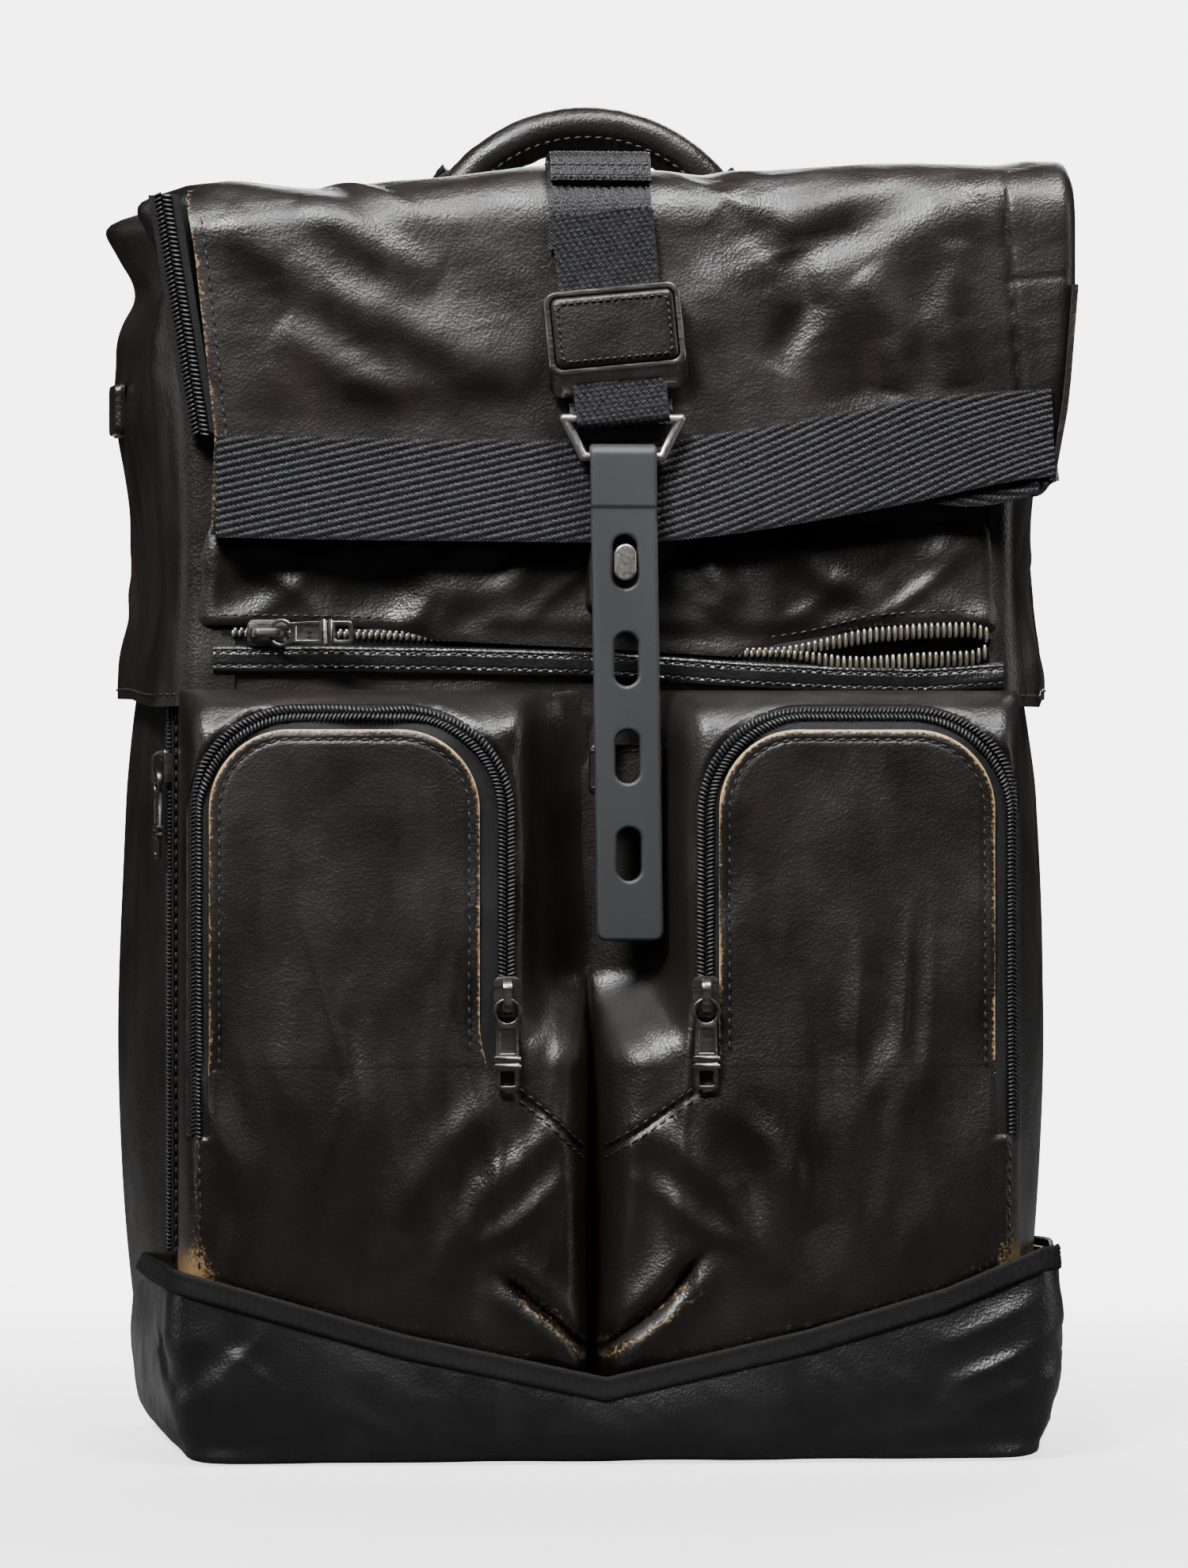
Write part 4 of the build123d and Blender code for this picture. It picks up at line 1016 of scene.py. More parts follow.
def roll_point(x_share, path, s_at):
    """Roll-top surface: share 0..1 across its width, path in y and z, and distance along it."""
    y, z = path[:, 0], path[:, 1]
    left = np.interp(z, [340, 380, 470], [-148, -146.5, -156.5])
    left = np.where((y > -40), -156.5, left)
    right = np.interp(z, [340, 385, 435], [175, 181, 185]) - 7.0 * ramp(y, -62, -10)
    X = left[None] + (right - left)[None] * x_share[:, None]
    Yg, Zg = np.broadcast_to(y, X.shape).copy(), np.broadcast_to(z, X.shape).copy()
    drop = 400 - (400 - Zg) * (400 - foot_z(X)) / (400 - flap_lo[2])
    Zg = np.where(Zg < 400, drop, Zg)
    S = np.broadcast_to(s_at, X.shape)
    past = np.clip(X - (right[None] - 17), 0, None)
    bend = np.clip(past / 6.5, 0, math.pi / 2)
    X = X - past + 6.5 * np.sin(bend) + 3.0
    turned_in = 6.5 * (1 - np.cos(bend)) + np.clip(past - 6.5 * math.pi / 2, 0, None)
    top = ramp(Zg, 440, 478)
    Zg = Zg + top * np.interp(X, [-156, -90, -20, 40, 110, 170], [-9, -3.0, 0.0, -1.0, 1.0, 2.0])
    P = np.stack([X, Yg, Zg], -1)
    n = grid_normals(np.stack([np.broadcast_to(x_share[:, None] * 300, X.shape), Yg, Zg], -1))
    sag = 3.5 * np.sin(np.pi * np.clip((Yg + 62) / 122, 0, 1)) * ramp(Zg, 470, 478)
    P = P + n * (turned_in + sag)[..., None]
    front = ramp(-Yg, 66, 76)
    calm = 1 - 0.85 * np.exp(-(((X - 2) / 27) ** 4)) * ramp(-Yg, 40, 60)
    foot = ramp(Zg, 383, 400)
    big = 4.4 * folds(X, Zg + Yg * 0.6, 101, 46, -38, 2.2, 0.12) * ramp(X, 30, -20)
    big = big + 4.4 * folds(X, Zg + Yg * 0.6, 112, 42, 40, 1.7, 0.12) * ramp(X, -10, 40)
    small = 0.8 * folds(X, Zg + Yg, 105, 20, -50, 2.6, 0.1) + 0.12 * folds(X, Zg + Yg, 108, 7, 15, 2.5)
    hand = sum(
        fold_line(X, Zg, pts, w, h)
        for pts, w, h in [
            ([(-140, 462), (-104, 432), (-62, 414), (-26, 395)], 10, 4.0),
            ([(-110, 470), (-84, 448), (-60, 438)], 8, 3.4),
            ([(-120, 420), (-90, 400), (-70, 388)], 8, 3.0),
            ([(44, 466), (70, 448), (96, 458), (122, 470)], 9, -4.0),
            ([(70, 448), (76, 428), (64, 404)], 7, -3.4),
            ([(96, 440), (112, 418), (108, 396)], 8, 3.6),
            ([(134, 452), (128, 424), (134, 398)], 7, 2.6),
        ]
    )
    d = (
        big * 0.75 + small + hand * front
    ) * calm * (front * foot + (1 - front) * 1.3) * ramp(turned_in, 4, 0)
    d = d * ramp(S, 0, 30)
    ply = 150 + (470 - Zg) * 0.08
    step = front * (1.0 * ramp(X, ply - 0.3, ply + 1.6) - 0.9 * bell(X - ply, 1.3))
    step = step - front * 0.5 * bell(Zg - 437 - (X - 150) * 0.1, 1.0) * ramp(X, 150, 153)
    inner = (S > s_at[-1] - 95) & (Yg > FLAP_Y + 5)
    d = np.where(inner, 0.0, d + step * ramp(Zg, 345, 360))
    return P + n * d[..., None] * -1.0, S


share = np.linspace(0, 1, 236)
turn = [
    (66.5, 436),
    (66.5, TOP_Z),
    (FLAP_Y, TOP_Z),
    (FLAP_Y, flap_lo[2]),
    (FLAP_Y + 10, flap_lo[2]),
    (FLAP_Y + 10, 436),
]
path = rounded_path(turn, [0, 20, 25, 4.6, 4.6, 0], 1.35)
s_at = np.arange(len(path)) * 1.35
cut = int(np.argmin(np.abs(path[:, 0]) + (path[:, 1] < TOP_Z - 5) * 999))
P, S = roll_point(share, path, s_at)
worn = 0.5 * bell(share[:, None], 0.006) + 0 * S
worn = worn + 0.75 * np.exp(-(((P[..., 0] + 146) / 3) ** 2 + ((P[..., 2] - foot_z(P[..., 0])) / 3) ** 2))
roll = lambda name, q, w: sheet(name, q, 2.0, [BLACK, LINING, BLACK], flip=True, wear=w, edge_wear=0.2)
CROWN_BEND = ("bag", "crown", (0, 66, 452), (0, 48, 474))
FLAP_BEND = ("crown", "flap", (0, -50, 482), (0, -78, 456))
piece(
    roll("crown_leather", P[:, : cut + 2], worn[:, : cut + 2]),
    None,
    "black_leather",
    "crown_panel",
    bend=CROWN_BEND,
)
piece(roll("flap_leather", P[:, cut:], worn[:, cut:]), None, "black_leather", "flap_panel", bend=FLAP_BEND)
n = -grid_normals(P)
front_cols = [j for j in range(P.shape[1]) if path[j, 0] < FLAP_Y + 1 and 345 < path[j, 1] < 466]
seam_row = 3
rows = [(P[seam_row, front_cols], n[seam_row, front_cols])]
piece(stitches("flap_stitches", rows, THREAD), None, "black_leather", bend=FLAP_BEND)

zz = np.linspace(468, 380, 90)
zx = np.interp(zz, [380, 470], [-148.5, -163.0])
zy = np.interp(zz, [380, 470], [FLAP_Y + 4.5, FLAP_Y + 3.5])
line = np.stack([zx, zy, zz], -1)
out = unit(np.array([-0.45, -1.0, 0.0]))
side_on = np.array([-1.0, 0.45, 0.0])
grid = line[:, None] + unit(side_on) * np.linspace(-6.5, 6.0, 9)[None, :, None]
piece(sheet("flap_zip_tape", grid, 0.6, [TAPE], flip=True), "flap", "zip_tape", "flap_zip")
piece(
    coil("flap_zip_coil", line + out * 0.4, np.broadcast_to(out, line.shape), COIL, half=3.4, pitch=1.7),
    "flap",
    "zip_tape",
)


def band_shape(P, u, w):
    P = P.copy()
    P[..., 2] += w * -0.14 * ramp(P[..., 0], 110, 168)
    P[..., 1] += 1.0 * np.exp(-(((P[..., 0] - (ring_lo[0] + ring_hi[0]) / 2) / 24) ** 4))
    P[..., 1] -= 0.8 * noise(P, 55, 6) * ramp(P[..., 0], 150, 90) + 0.6 * bell(P[..., 0] + 60, 40)
    return P


bx = np.linspace(-143, 168, 200)
bz = 360 + 21.0 * ramp(bx, 5, 180) - 1.5 * np.sin((bx + 150) / 320 * np.pi)
line = np.stack([bx, np.full(len(bx), FLAP_Y - 3.2) - 0.8 * ramp(bx, 90, 150), bz], -1)
tilt = np.gradient(bz) / np.gradient(bx)
across = unit(flat3(-tilt * 0.6, 0 * bx, 1 + 0 * bx))
band = webbing("flap_band_webbing", line, across, 38, WEB, thick=1.7, angle=14, shape=band_shape)
piece(band, "flap", "webbing", "flap_band")
kx = np.linspace(112, 163, 60)
kz = 366.0 + 9.0 * ramp(kx, 5, 180) - 5.5 * np.sin(np.pi * np.clip((kx - 112) / 55, 0, 1))
fold = np.stack([kx, FLAP_Y - 1.3 - 1.2 * ramp(kx, 150, 167), kz], -1)
back = webbing(
    "flap_band_return",
    fold,
    np.broadcast_to([0.0, 0, 1.0], fold.shape).copy(),
    30,
    WEB,
    thick=1.2,
    angle=-14,
)
piece(back, "flap", "webbing")


# ---------------------------------------------------------------- closure
CX, CSHIFT = (ring_lo[0] + ring_hi[0]) / 2, -8.2
RING_Z, WEB_Y = 385.0, -82.6


def closure_x(z):
    return CX + CSHIFT * (z - RING_Z) / (467.5 - RING_Z)


zz = np.linspace(462, RING_Z + 1, 90)
yy = WEB_Y + 1.0 - 1.0 * ramp(zz, 392, 386) * 2.0
line = np.stack([closure_x(zz), yy - 1.2, zz], -1)
lean = unit(flat3(np.full(len(zz), 1.0), 0 * zz, 0.099))
closure = webbing("closure_front", line, lean, 38, WEB, thick=1.6, angle=25, pitch=2.4)
closure_bend = ("flap", "closure", (-1, WEB_Y, 467), (-1, WEB_Y, 452))
piece(closure, None, "webbing", "closure_webbing", bend=closure_bend)
turn = rounded_path(
    [(-83.2, 402), (-83.2, RING_Z - 3.3), (-89.6, RING_Z - 3.3), (-88.6, 399)], [0, 3.1, 3.1, 0], 0.6
)
tail = np.stack([closure_x(turn[:, 1]), turn[:, 0], turn[:, 1]], -1)
lean = unit(flat3(np.full(len(tail), 1.0), 0, 0.09))
piece(
    webbing("closure_eye", tail[::-1], lean, 34.5, WEB, thick=1.1, angle=25, pitch=2.4),
    "closure",
    "webbing",
)

top = rounded_path([(50, TOP_Z + 2.2), (FLAP_Y - 3.4, TOP_Z + 2.2), (FLAP_Y - 3.4, 448)], [0, 26, 0], 1.0)
top[:, 1] -= 3.2 * np.sin(np.pi * np.clip((top[:, 0] + 62) / 122, 0, 1)) * (top[:, 1] > 478)
cx = closure_x(468.0)
line = np.stack([np.full(len(top), cx), top[:, 0], top[:, 1]], -1)
lean = np.broadcast_to([1.0, 0, 0.0], line.shape).copy()
piece(
    webbing("crown_webbing_top", line, lean, 38, WEB, thick=1.6, angle=25, pitch=2.4),
    None,
    "webbing",
    "crown_webbing",
    bend=FLAP_BEND,
)
lip = rounded_path([(-44, TOP_Z + 4.4), (FLAP_Y + 3, TOP_Z + 4.0), (FLAP_Y - 1.4, 474)], [0, 7, 0], 1.0)
line = np.stack([np.full(len(lip), cx + 0.5), lip[:, 0], lip[:, 1]], -1)
lean = np.broadcast_to([1.0, 0, 0.0], line.shape).copy()
piece(
    webbing("closure_hem", line, lean, 37.4, WEB, thick=2.0, angle=-28, pitch=1.8),
    None,
    "webbing",
    bend=FLAP_BEND,
)
rows = []
for dz in (0.0, 5.0):
    sx = np.linspace(cx - 17, cx + 17, 20)
    rows.append(
        (
            np.stack([sx, 0 * sx + FLAP_Y - 1.6 + dz * 0.6, 0 * sx + 476 + dz * 0.8], -1),
            flat3(0 * sx, -1, 0),
        )
    )
piece(stitches("closure_hem_stitches", rows, THREAD, pitch=3), None, "webbing", bend=FLAP_BEND)

ic = (inlay_lo + inlay_hi) / 2
LEAN = math.degrees(math.atan2(8.2, 82.5))
iw, ih = 46.1, 26.6
inlay = puffed(
    "inlay_leather",
    ic[0],
    ic[2],
    iw,
    ih,
    2.8,
    inlay_hi[1] - 0.4,
    2.9,
    [BLACK],
    turn=LEAN,
    edge=2.2,
    crown=0.14,
    step=1.0,
)
piece(inlay, "buckle", "black_leather", "buckle_inlay")
a = math.radians(LEAN)
loop = rounded_path(
    [
        (iw / 2 - 2.6, -ih / 2 + 2.6),
        (iw / 2 - 2.6, ih / 2 - 2.6),
        (-iw / 2 + 2.6, ih / 2 - 2.6),
        (-iw / 2 + 2.6, -ih / 2 + 2.6),
    ],
    [2.5] * 4,
    1.0,
    closed=True,
)
P = np.stack(
    [
        ic[0] + loop[:, 0] * math.cos(a) - loop[:, 1] * math.sin(a),
        np.full(len(loop), inlay_hi[1] - 3.65),
        ic[2] + loop[:, 0] * math.sin(a) + loop[:, 1] * math.cos(a),
    ],
    -1,
)
piece(
    stitches(
        "inlay_stitches", [(P, flat3(0 * loop[:, 0], -1, 0))], THREAD, pitch=2.7, length=2.1, width=0.8
    ),
    "buckle",
    "black_leather",
)

def strap_cut(x, s):
    """Signed distance to the slotted strap's outline and slots, negative in the rubber, at height s."""
    low = strap_lo[2]
    lean = 2.6 * (371 - s) / 179
    hx, r = 12.25, 3.4
    qx, qz = np.abs(x - lean) - hx + r, low - s + r
    out = np.hypot(np.maximum(qx, 0), np.maximum(qz, 0)) + np.minimum(np.maximum(qx, qz), 0) - r
    for z in (332, 296, 260, 224):
        mid = 2.6 * (371 - z) / 179
        gap = np.hypot(x - mid, np.maximum(np.abs(s - z) - 5.3, 0)) - 4.5
        out = np.maximum(out, -gap)
    return out


xs, ss = np.linspace(-13.0, 15.9, 61), np.arange(strap_lo[2] - 0.2, 392, 0.5)
X, S = np.meshgrid(xs, ss, indexing="ij")
sd = strap_cut(X, S)
gx, gz = (strap_cut(X + 0.02, S) - sd) / 0.02, (strap_cut(X, S + 0.02) - sd) / 0.02
near = np.abs(sd) < 0.42
X, S = np.where(near, X - sd * gx, X), np.where(near, S - sd * gz, S)
middle = lambda a: (a[1:, 1:] + a[:-1, 1:] + a[1:, :-1] + a[:-1, :-1]) / 4
keep = strap_cut(middle(X), middle(S)) < 0.05
edge = 0.75 * (1 - soft(-strap_cut(X, S), 1.3, 2.0))
around = np.clip((S - 371) / 4.4, 0, math.pi * 1.25)
radius = 4.2 - edge
depth = np.where(
    S < 371,
    -90.5 + edge - 0.5 * ramp(S, 351.5, 353),
    -86.3 - radius * np.cos(around) - 0.5 * np.cos(around),
)
height = np.where(S < 371, S, 371 + radius * np.sin(around) + 0.5)
P = np.stack([X + CX, depth, height], -1)
out = np.stack([0 * S, np.where(S < 371, -1, -np.cos(around)), np.where(S < 371, 0, np.sin(around))], -1)
strap = sheet("strap_rubber", P, 2.7, [RUBBER], keep=keep, normals=out)
piece(strap, "slotted_strap", "rubber", "rubber_strap")

pc = (placket_lo + placket_hi) / 2
ps = placket_hi - placket_lo
block = puffed(
    "placket_leather", pc[0], pc[2], ps[0], ps[2], 2, placket_hi[1], ps[1], [BLACK], edge=2.0, step=1.0
)
piece(block, "bag", "black_leather", "front_placket")
kw = keeper_hi[0] - keeper_lo[0]
kc = (keeper_lo + keeper_hi) / 2
tab = puffed("keeper_leather", kc[0], kc[2], kw, 19, 2, -81.0, 2.4, [BLACK], edge=1.2, step=1.0)
piece(tab, "bag", "black_leather", "keeper_tab")
rows = []
for dz in (-6.8, 6.8):
    sx = np.linspace(kc[0] - kw / 2 + 2, kc[0] + kw / 2 - 2, 14)
    rows.append((np.stack([sx, 0 * sx - 83.4, 0 * sx + kc[2] + dz], -1), flat3(0 * sx, -1, 0)))
piece(stitches("keeper_stitches", rows, THREAD, pitch=3), "bag", "black_leather")
stem = np.array(
    [
        [[x, y, z] for z in np.linspace(248, 263, 8)]
        for x, y in ((-1.5, -80.8), (-1.5, -66), (1.5, -66), (1.5, -80.8))
    ],
    float,
)
piece(sheet("keeper_stem", stem, 0.8, [BLACK], closed=True), "bag", "black_leather")


# ---------------------------------------------------------------- back
def inflate(ob, pressure=4.0, voxel=3.0, cap=2.6):
    """Blows a pad up a little as cloth, so that its faces and edges take a sewn, filled shape."""
    me = ob.data
    before = np.array([v.co for v in me.vertices])
    low, high = before.min(0), before.max(0)
    scene = bpy.context.scene
    for o in scene.objects:
        o.select_set(False)
    bpy.context.view_layer.objects.active = ob
    ob.select_set(True)
    remesh = ob.modifiers.new("remesh", "REMESH")
    remesh.mode = "VOXEL"
    remesh.voxel_size = voxel * MM
    bpy.ops.object.modifier_apply(modifier=remesh.name)
    start = np.array([v.co for v in ob.data.vertices])
    pins = ob.vertex_groups.new(name="pins")
    back = (start[:, 1] < low[1] + (high[1] - low[1]) * 0.25).nonzero()[0].tolist()
    pins.add(back, 1.0, "REPLACE")
    cloth_mod = ob.modifiers.new("cloth", "CLOTH")
    s = cloth_mod.settings
    s.quality = 6
    s.mass = 0.3
    s.tension_stiffness = s.compression_stiffness = 25
    s.bending_stiffness = 2.0
    s.use_pressure = True
    s.uniform_pressure_force = pressure
    s.shrink_min = -0.02
    s.effector_weights.gravity = 0
    s.vertex_group_mass = "pins"
    cloth_mod.point_cache.frame_start = 1
    cloth_mod.point_cache.frame_end = 22
    for k in range(1, 21):
        scene.frame_set(k)
    bpy.ops.object.modifier_apply(modifier=cloth_mod.name)
    scene.frame_set(1)
    end = np.array([v.co for v in ob.data.vertices])
    move = end - start
    size = np.linalg.norm(move, axis=1, keepdims=True)
    end = start + move * np.minimum(1, cap * MM / np.maximum(size, 1e-9))
    end[:, 1] = np.maximum(end[:, 1], low[1])
    ob.data.vertices.foreach_set("co", end.ravel())
    sub = ob.modifiers.new("sub", "SUBSURF")
    sub.levels = 1
    bpy.ops.object.modifier_apply(modifier=sub.name)
    ob.data.shade_smooth()
    ob.vertex_groups.clear()
    return ob


def cushion(name, cx, cz, w, h, r, y0, rise, mat, step=2.5):
    """A filled pad with a flat back at y0 and a rounded front edge."""
    corners = [(w / 2, -h / 2), (w / 2, h / 2), (-w / 2, h / 2), (-w / 2, -h / 2)]
    rim = rounded_path(corners, [r] * 4, step, closed=True)[:-1]
    small = min(w, h) / 2
    insets = np.concatenate(
        [np.arange(small, rise + 1, -step), rise * (1 - np.sin(np.linspace(0, np.pi / 2, 7)))]
    )
    lifts = np.concatenate([rise * soft(insets, rise), 0 * insets])
    rows = []
    for inset, lift in zip(np.concatenate([insets, insets[::-1]]), lifts):
        kx, kz = 1 - inset / (w / 2), 1 - inset / (h / 2)
        rows.append(np.stack([cx + rim[:, 0] * kx, np.full(len(rim), y0 + lift), cz + rim[:, 1] * kz], -1))
    P = np.array(rows).transpose(1, 0, 2)
    v, f = P.reshape(-1, 3), grid_faces(P.shape[0], P.shape[1], closed=True)
    a, b, c, d = (v[f[:, k]] - v.mean(0) for k in range(4))
    volume = (a * (np.cross(b, c) + np.cross(c, d))).sum()
    return make(name, v, f if volume > 0 else f[:, ::-1], [mat])


def pad(name, cx, cz, w, h, r, y0, rise, mat, seams=None):
    """A foam pad: soft slab, blown up as cloth, with sewn channels pressed in afterwards."""
    ob = cushion(name, cx, cz, w, h, r, y0, rise, mat)
    inflate(ob)
    v = np.array([p.co for p in ob.data.vertices]) / MM
    if seams:
        for pts in seams:
            gap = line_gap(v[:, 0], v[:, 2], pts)[0]
            v[:, 1] -= 3.0 * bell(gap, 3.2) * (v[:, 1] > y0 + rise * 0.5)
    v[:, 1] += 0.35 * noise(v, 14, 12) * (v[:, 1] > y0 + rise * 0.5)
    ob.data.vertices.foreach_set("co", (v * MM).ravel())
    return ob


xs = np.arange(-149, 149.1, 2.2)
zs = np.arange(16, 462.1, 2.2)
X, Z = np.meshgrid(xs, zs, indexing="ij")
Y = (
    65.0
    + 0.7 * folds(X, Z, 140, 26, 10, 2) * ramp(150 - np.abs(X), 0, 12)
    - (np.clip(np.abs(X) - 138, 0, None) ** 2) / 60
)
back = sheet("back_leather", np.stack([X, Y, Z], -1), 2.2, PANEL, flip=True)
piece(back, "bag", "black_leather", "back_panel")
for side, hand in ((-1, "left"), (1, "right")):
    lo, hi = node_box(f"{hand}_back_pad")
    c = (lo + hi) / 2
    seams = [[(lo[0] + 6, z), (hi[0] - 6, z)] for z in (178, 252, 326)]
    ob = pad(
        f"{hand}_mesh_pad", c[0], c[2], hi[0] - lo[0] - 3, hi[2] - lo[2] - 3, 21, lo[1], 7.5, MESH, seams
    )
    piece(ob, "bag", "mesh", f"{hand}_back_pad")
    rim = rounded_path(
        [(lo[0] - 1, lo[2] - 1), (hi[0] + 1, lo[2] - 1), (hi[0] + 1, hi[2] + 1), (lo[0] - 1, hi[2] + 1)],
        [23] * 4,
        1.5,
        closed=True,
    )
    P = np.stack([rim[:, 0], np.full(len(rim), 66.4), rim[:, 1]], -1)
    ang = np.linspace(0, 2 * np.pi, 10, endpoint=False)
    nrm = unit(np.stack([np.gradient(rim[:, 1]), 0 * rim[:, 0], -np.gradient(rim[:, 0])], -1))
    tube = (
        P[:, None]
        + 1.9 * (
            nrm[:, None] * np.cos(ang)[None, :, None] + np.array([0, 1.0, 0]) * np.sin(ang)[None, :, None]
        )
    )
    tube = np.concatenate([tube, tube[:, :1]], 1)
    faces = grid_faces(len(P) - 1, len(ang) + 1, closed=True)
    piece(make(f"{hand}_pad_piping", tube[:-1].reshape(-1, 3), faces, [BOOT]), "bag", "black_leather")
lo, hi = node_box("lumbar_pad")
ob = pad("lumbar_mesh_pad", 0, (lo[2] + hi[2]) / 2, hi[0] - lo[0] - 3, 21, 9, lo[1], 7.2, MESH)
piece(ob, "bag", "mesh", "lumbar_pad")
lo, hi = node_box("strap_yoke")
yoke = puffed(
    "yoke_leather",
    0,
    (lo[2] + hi[2]) / 2,
    hi[0] - lo[0],
    hi[2] - lo[2],
    8,
    lo[1],
    3.1,
    [BLACK],
    out=1,
    edge=1.6,
    bumps=lambda x,
    z: 0.4 * folds(x, z, 150, 14, 10, 3),
)
piece(yoke, "bag", "black_leather", "strap_yoke")
box_path = rounded_path(
    [(-101, lo[2] + 4), (101, lo[2] + 4), (101, hi[2] - 4), (-101, hi[2] - 4)], [5] * 4, 1.0, closed=True
)
P = np.stack([box_path[:, 0], np.full(len(box_path), lo[1] + 3.2), box_path[:, 1]], -1)
piece(stitches("yoke_stitches", [(P, flat3(0 * box_path[:, 0], 1, 0))], THREAD), "bag", "black_leather")

for side, hand in ((-1, "left"), (1, "right")):
    lo, hi = node_box(f"{hand}_shoulder_strap")
    z0, z1, x0, x1, w0, w1 = 165.0, 434.0, 89.0, 66.0, 26.0, 30.0
    us, vs = np.linspace(-1, 1, 37), np.linspace(0, 1, 120)
    z = z0 + (z1 - z0) * vs
    mid, half = x0 + (x1 - x0) * vs, w0 + (w1 - w0) * vs
    half = half * soft((vs * (z1 - z0)) + 1.5, 12) * soft(((1 - vs) * (z1 - z0)) + 4, 8)
    across = np.sin(us * np.pi / 2)
    X = mid[None] + across[:, None] * half[None]
    Z = np.broadcast_to(z, X.shape)
    thick = 5.6 * soft((1 - np.abs(across))[:, None] * half[None], 7) * soft(
        (np.minimum(vs, 1 - vs) * (z1 - z0))[None] + 2, 10
    )
    wave = 0.5 * noise(flat3(X, Z), 16, 33)
    seam = 1.6 * bell((1 - np.abs(across))[:, None] * half[None] - 7, 1.2)
    bow = 82 + 1.5 * np.sin(np.pi * vs)[None]
    front = np.stack([X * side, bow + thick + wave - seam, Z], -1)
    rear = np.stack([X * side, bow - thick * 0.95 - 0.4 * wave, Z], -1)
    nu, nv = X.shape
    f = grid_faces(nu, nv)
    ends = [
        np.array(
            [
                [i * nv + j, (i + 1) * nv + j, (i + 1) * nv + j + nu * nv, i * nv + j + nu * nv]
                for i in range(nu - 1)
            ]
        )
        for j in (0, nv - 1)
    ]
    sides_f = [
        np.array(
            [
                [i * nv + j, i * nv + j + 1, i * nv + j + 1 + nu * nv, i * nv + j + nu * nv]
                for j in range(nv - 1)
            ]
        )
        for i in (0, nu - 1)
    ]
    f1, f2 = (f[:, ::-1], f + nu * nv) if side > 0 else (f, f[:, ::-1] + nu * nv)
    every = np.concatenate([f1, f2, ends[0], ends[1][:, ::-1], sides_f[0][:, ::-1], sides_f[1]])
    kinds = np.concatenate([np.zeros(len(f1)), np.ones(len(f2)), np.zeros(len(every) - 2 * len(f))])
    ob = make(
        f"{hand}_padded_strap",
        np.concatenate([front.reshape(-1, 3), rear.reshape(-1, 3)]),
        every,
        [BLACK, MESH],
        kinds,
    )
    piece(ob, f"{hand}_strap", "black_leather", f"{hand}_shoulder_strap")
    rows = []
    for s in (5, nu - 6):
        keep = slice(6, nv - 6)
        rows.append((front[s, keep] + [0, 0.3, 0], flat3(0 * z[keep], 1, 0)))
    piece(stitches(f"{hand}_strap_stitches", rows, THREAD), f"{hand}_strap", "black_leather")
    line = np.stack(
        [
            np.linspace(89, 74, 60) * side,
            np.full(60, 88.2) + 1.4 * np.sin(np.linspace(0.1, 3.0, 60)),
            np.linspace(172, 330, 60),
        ],
        -1,
    )
    lean = np.broadcast_to([side, 0, 0.09], line.shape).copy()
    piece(
        webbing(f"{hand}_strap_webbing", line[::-1], lean, 25, WEB, thick=1.4, angle=14, step=0.8),
        f"{hand}_strap",
        "webbing",
    )
    line = np.stack(
        [
            np.linspace(89, 156, 70) * side,
            np.full(70, 80.8) + 1.2 * np.sin(np.linspace(0, 3.1, 70)),
            np.linspace(146, 60, 70),
        ],
        -1,
    )
    lean = unit(np.broadcast_to([0.79 * side, 0, 0.61], line.shape))
    tail = webbing(f"{hand}_tail_webbing", line, lean, 25, WEB, thick=1.6, angle=14, step=0.8)
    piece(tail, f"{hand}_tail", "webbing", f"{hand}_lower_webbing")
    anchor = puffed(
        f"{hand}_base_anchor", 153.5 * side, 47, 28, 25, 4, 70.2, 11.6, [BLACK], out=1, edge=3.0, step=1.2
    )
    piece(anchor, "bag", "black_leather", *(["lower_anchors"] if side > 0 else []))
    mount = puffed(
        f"{hand}_handle_anchor",
        HANDLE_X + 62 * side,
        452,
        27,
        17,
        3,
        68.1,
        13.6,
        [BLACK],
        out=1,
        edge=3.0,
        step=1.2,
    )
    piece(mount, "bag", "black_leather", *(["handle_anchors"] if side > 0 else []))

# handle: a leather-wrapped arch, a little flattened, with a sewn lower edge
grip_lo, grip_hi = node_box("handle_grip")
half_w, z_end, z_top, gy = 54.0, 483.0, 512.0, (grip_lo[1] + grip_hi[1]) / 2
rise = z_top - z_end
radius = (half_w**2 + rise**2) / (2 * rise)
reach = math.asin(half_w / radius)
ang = np.linspace(-reach, reach, 150)
line = np.stack(
    [HANDLE_X + radius * np.sin(ang), np.full(150, gy), z_top - radius + radius * np.cos(ang)], -1
)
up = np.stack([np.sin(ang), 0 * ang, np.cos(ang)], -1)
around = np.linspace(0, 2 * np.pi, 40, endpoint=False)
ends = soft(np.minimum(ang + reach, reach - ang) * radius + 0.5, 5)
rx, rz = 6.6 * ends, 6.9 * ends
lip = 2.6 * bell(np.abs(around - 1.5 * np.pi), 0.35)
wrinkle = 0.25 * folds(ang[:, None] * radius, around[None] * 6, 160, 7, 80, 2)
P = (
    line[:, None]
    + up[:, None] * (
        np.sin(around)[None] * rz[:, None] + wrinkle - lip[None] * ends[:, None] * 1.5
    )[..., None]
)
P = P + np.array([0, 1.0, 0]) * (np.cos(around)[None] * rx[:, None])[..., None]
faces = grid_faces(len(around), 150, closed=True)
grip = make("handle_leather", P.transpose(1, 0, 2).reshape(-1, 3), faces[:, ::-1], [BLACK])
piece(grip, "handle", "black_leather", "handle_grip")
seam = line - up * 5.4 + np.array([0, -4.6, 0])
piece(
    stitches("handle_stitches", [(seam[6:-6], flat3(0 * ang[6:-6], -1, -0.5))], THREAD),
    "handle",
    "black_leather",
)
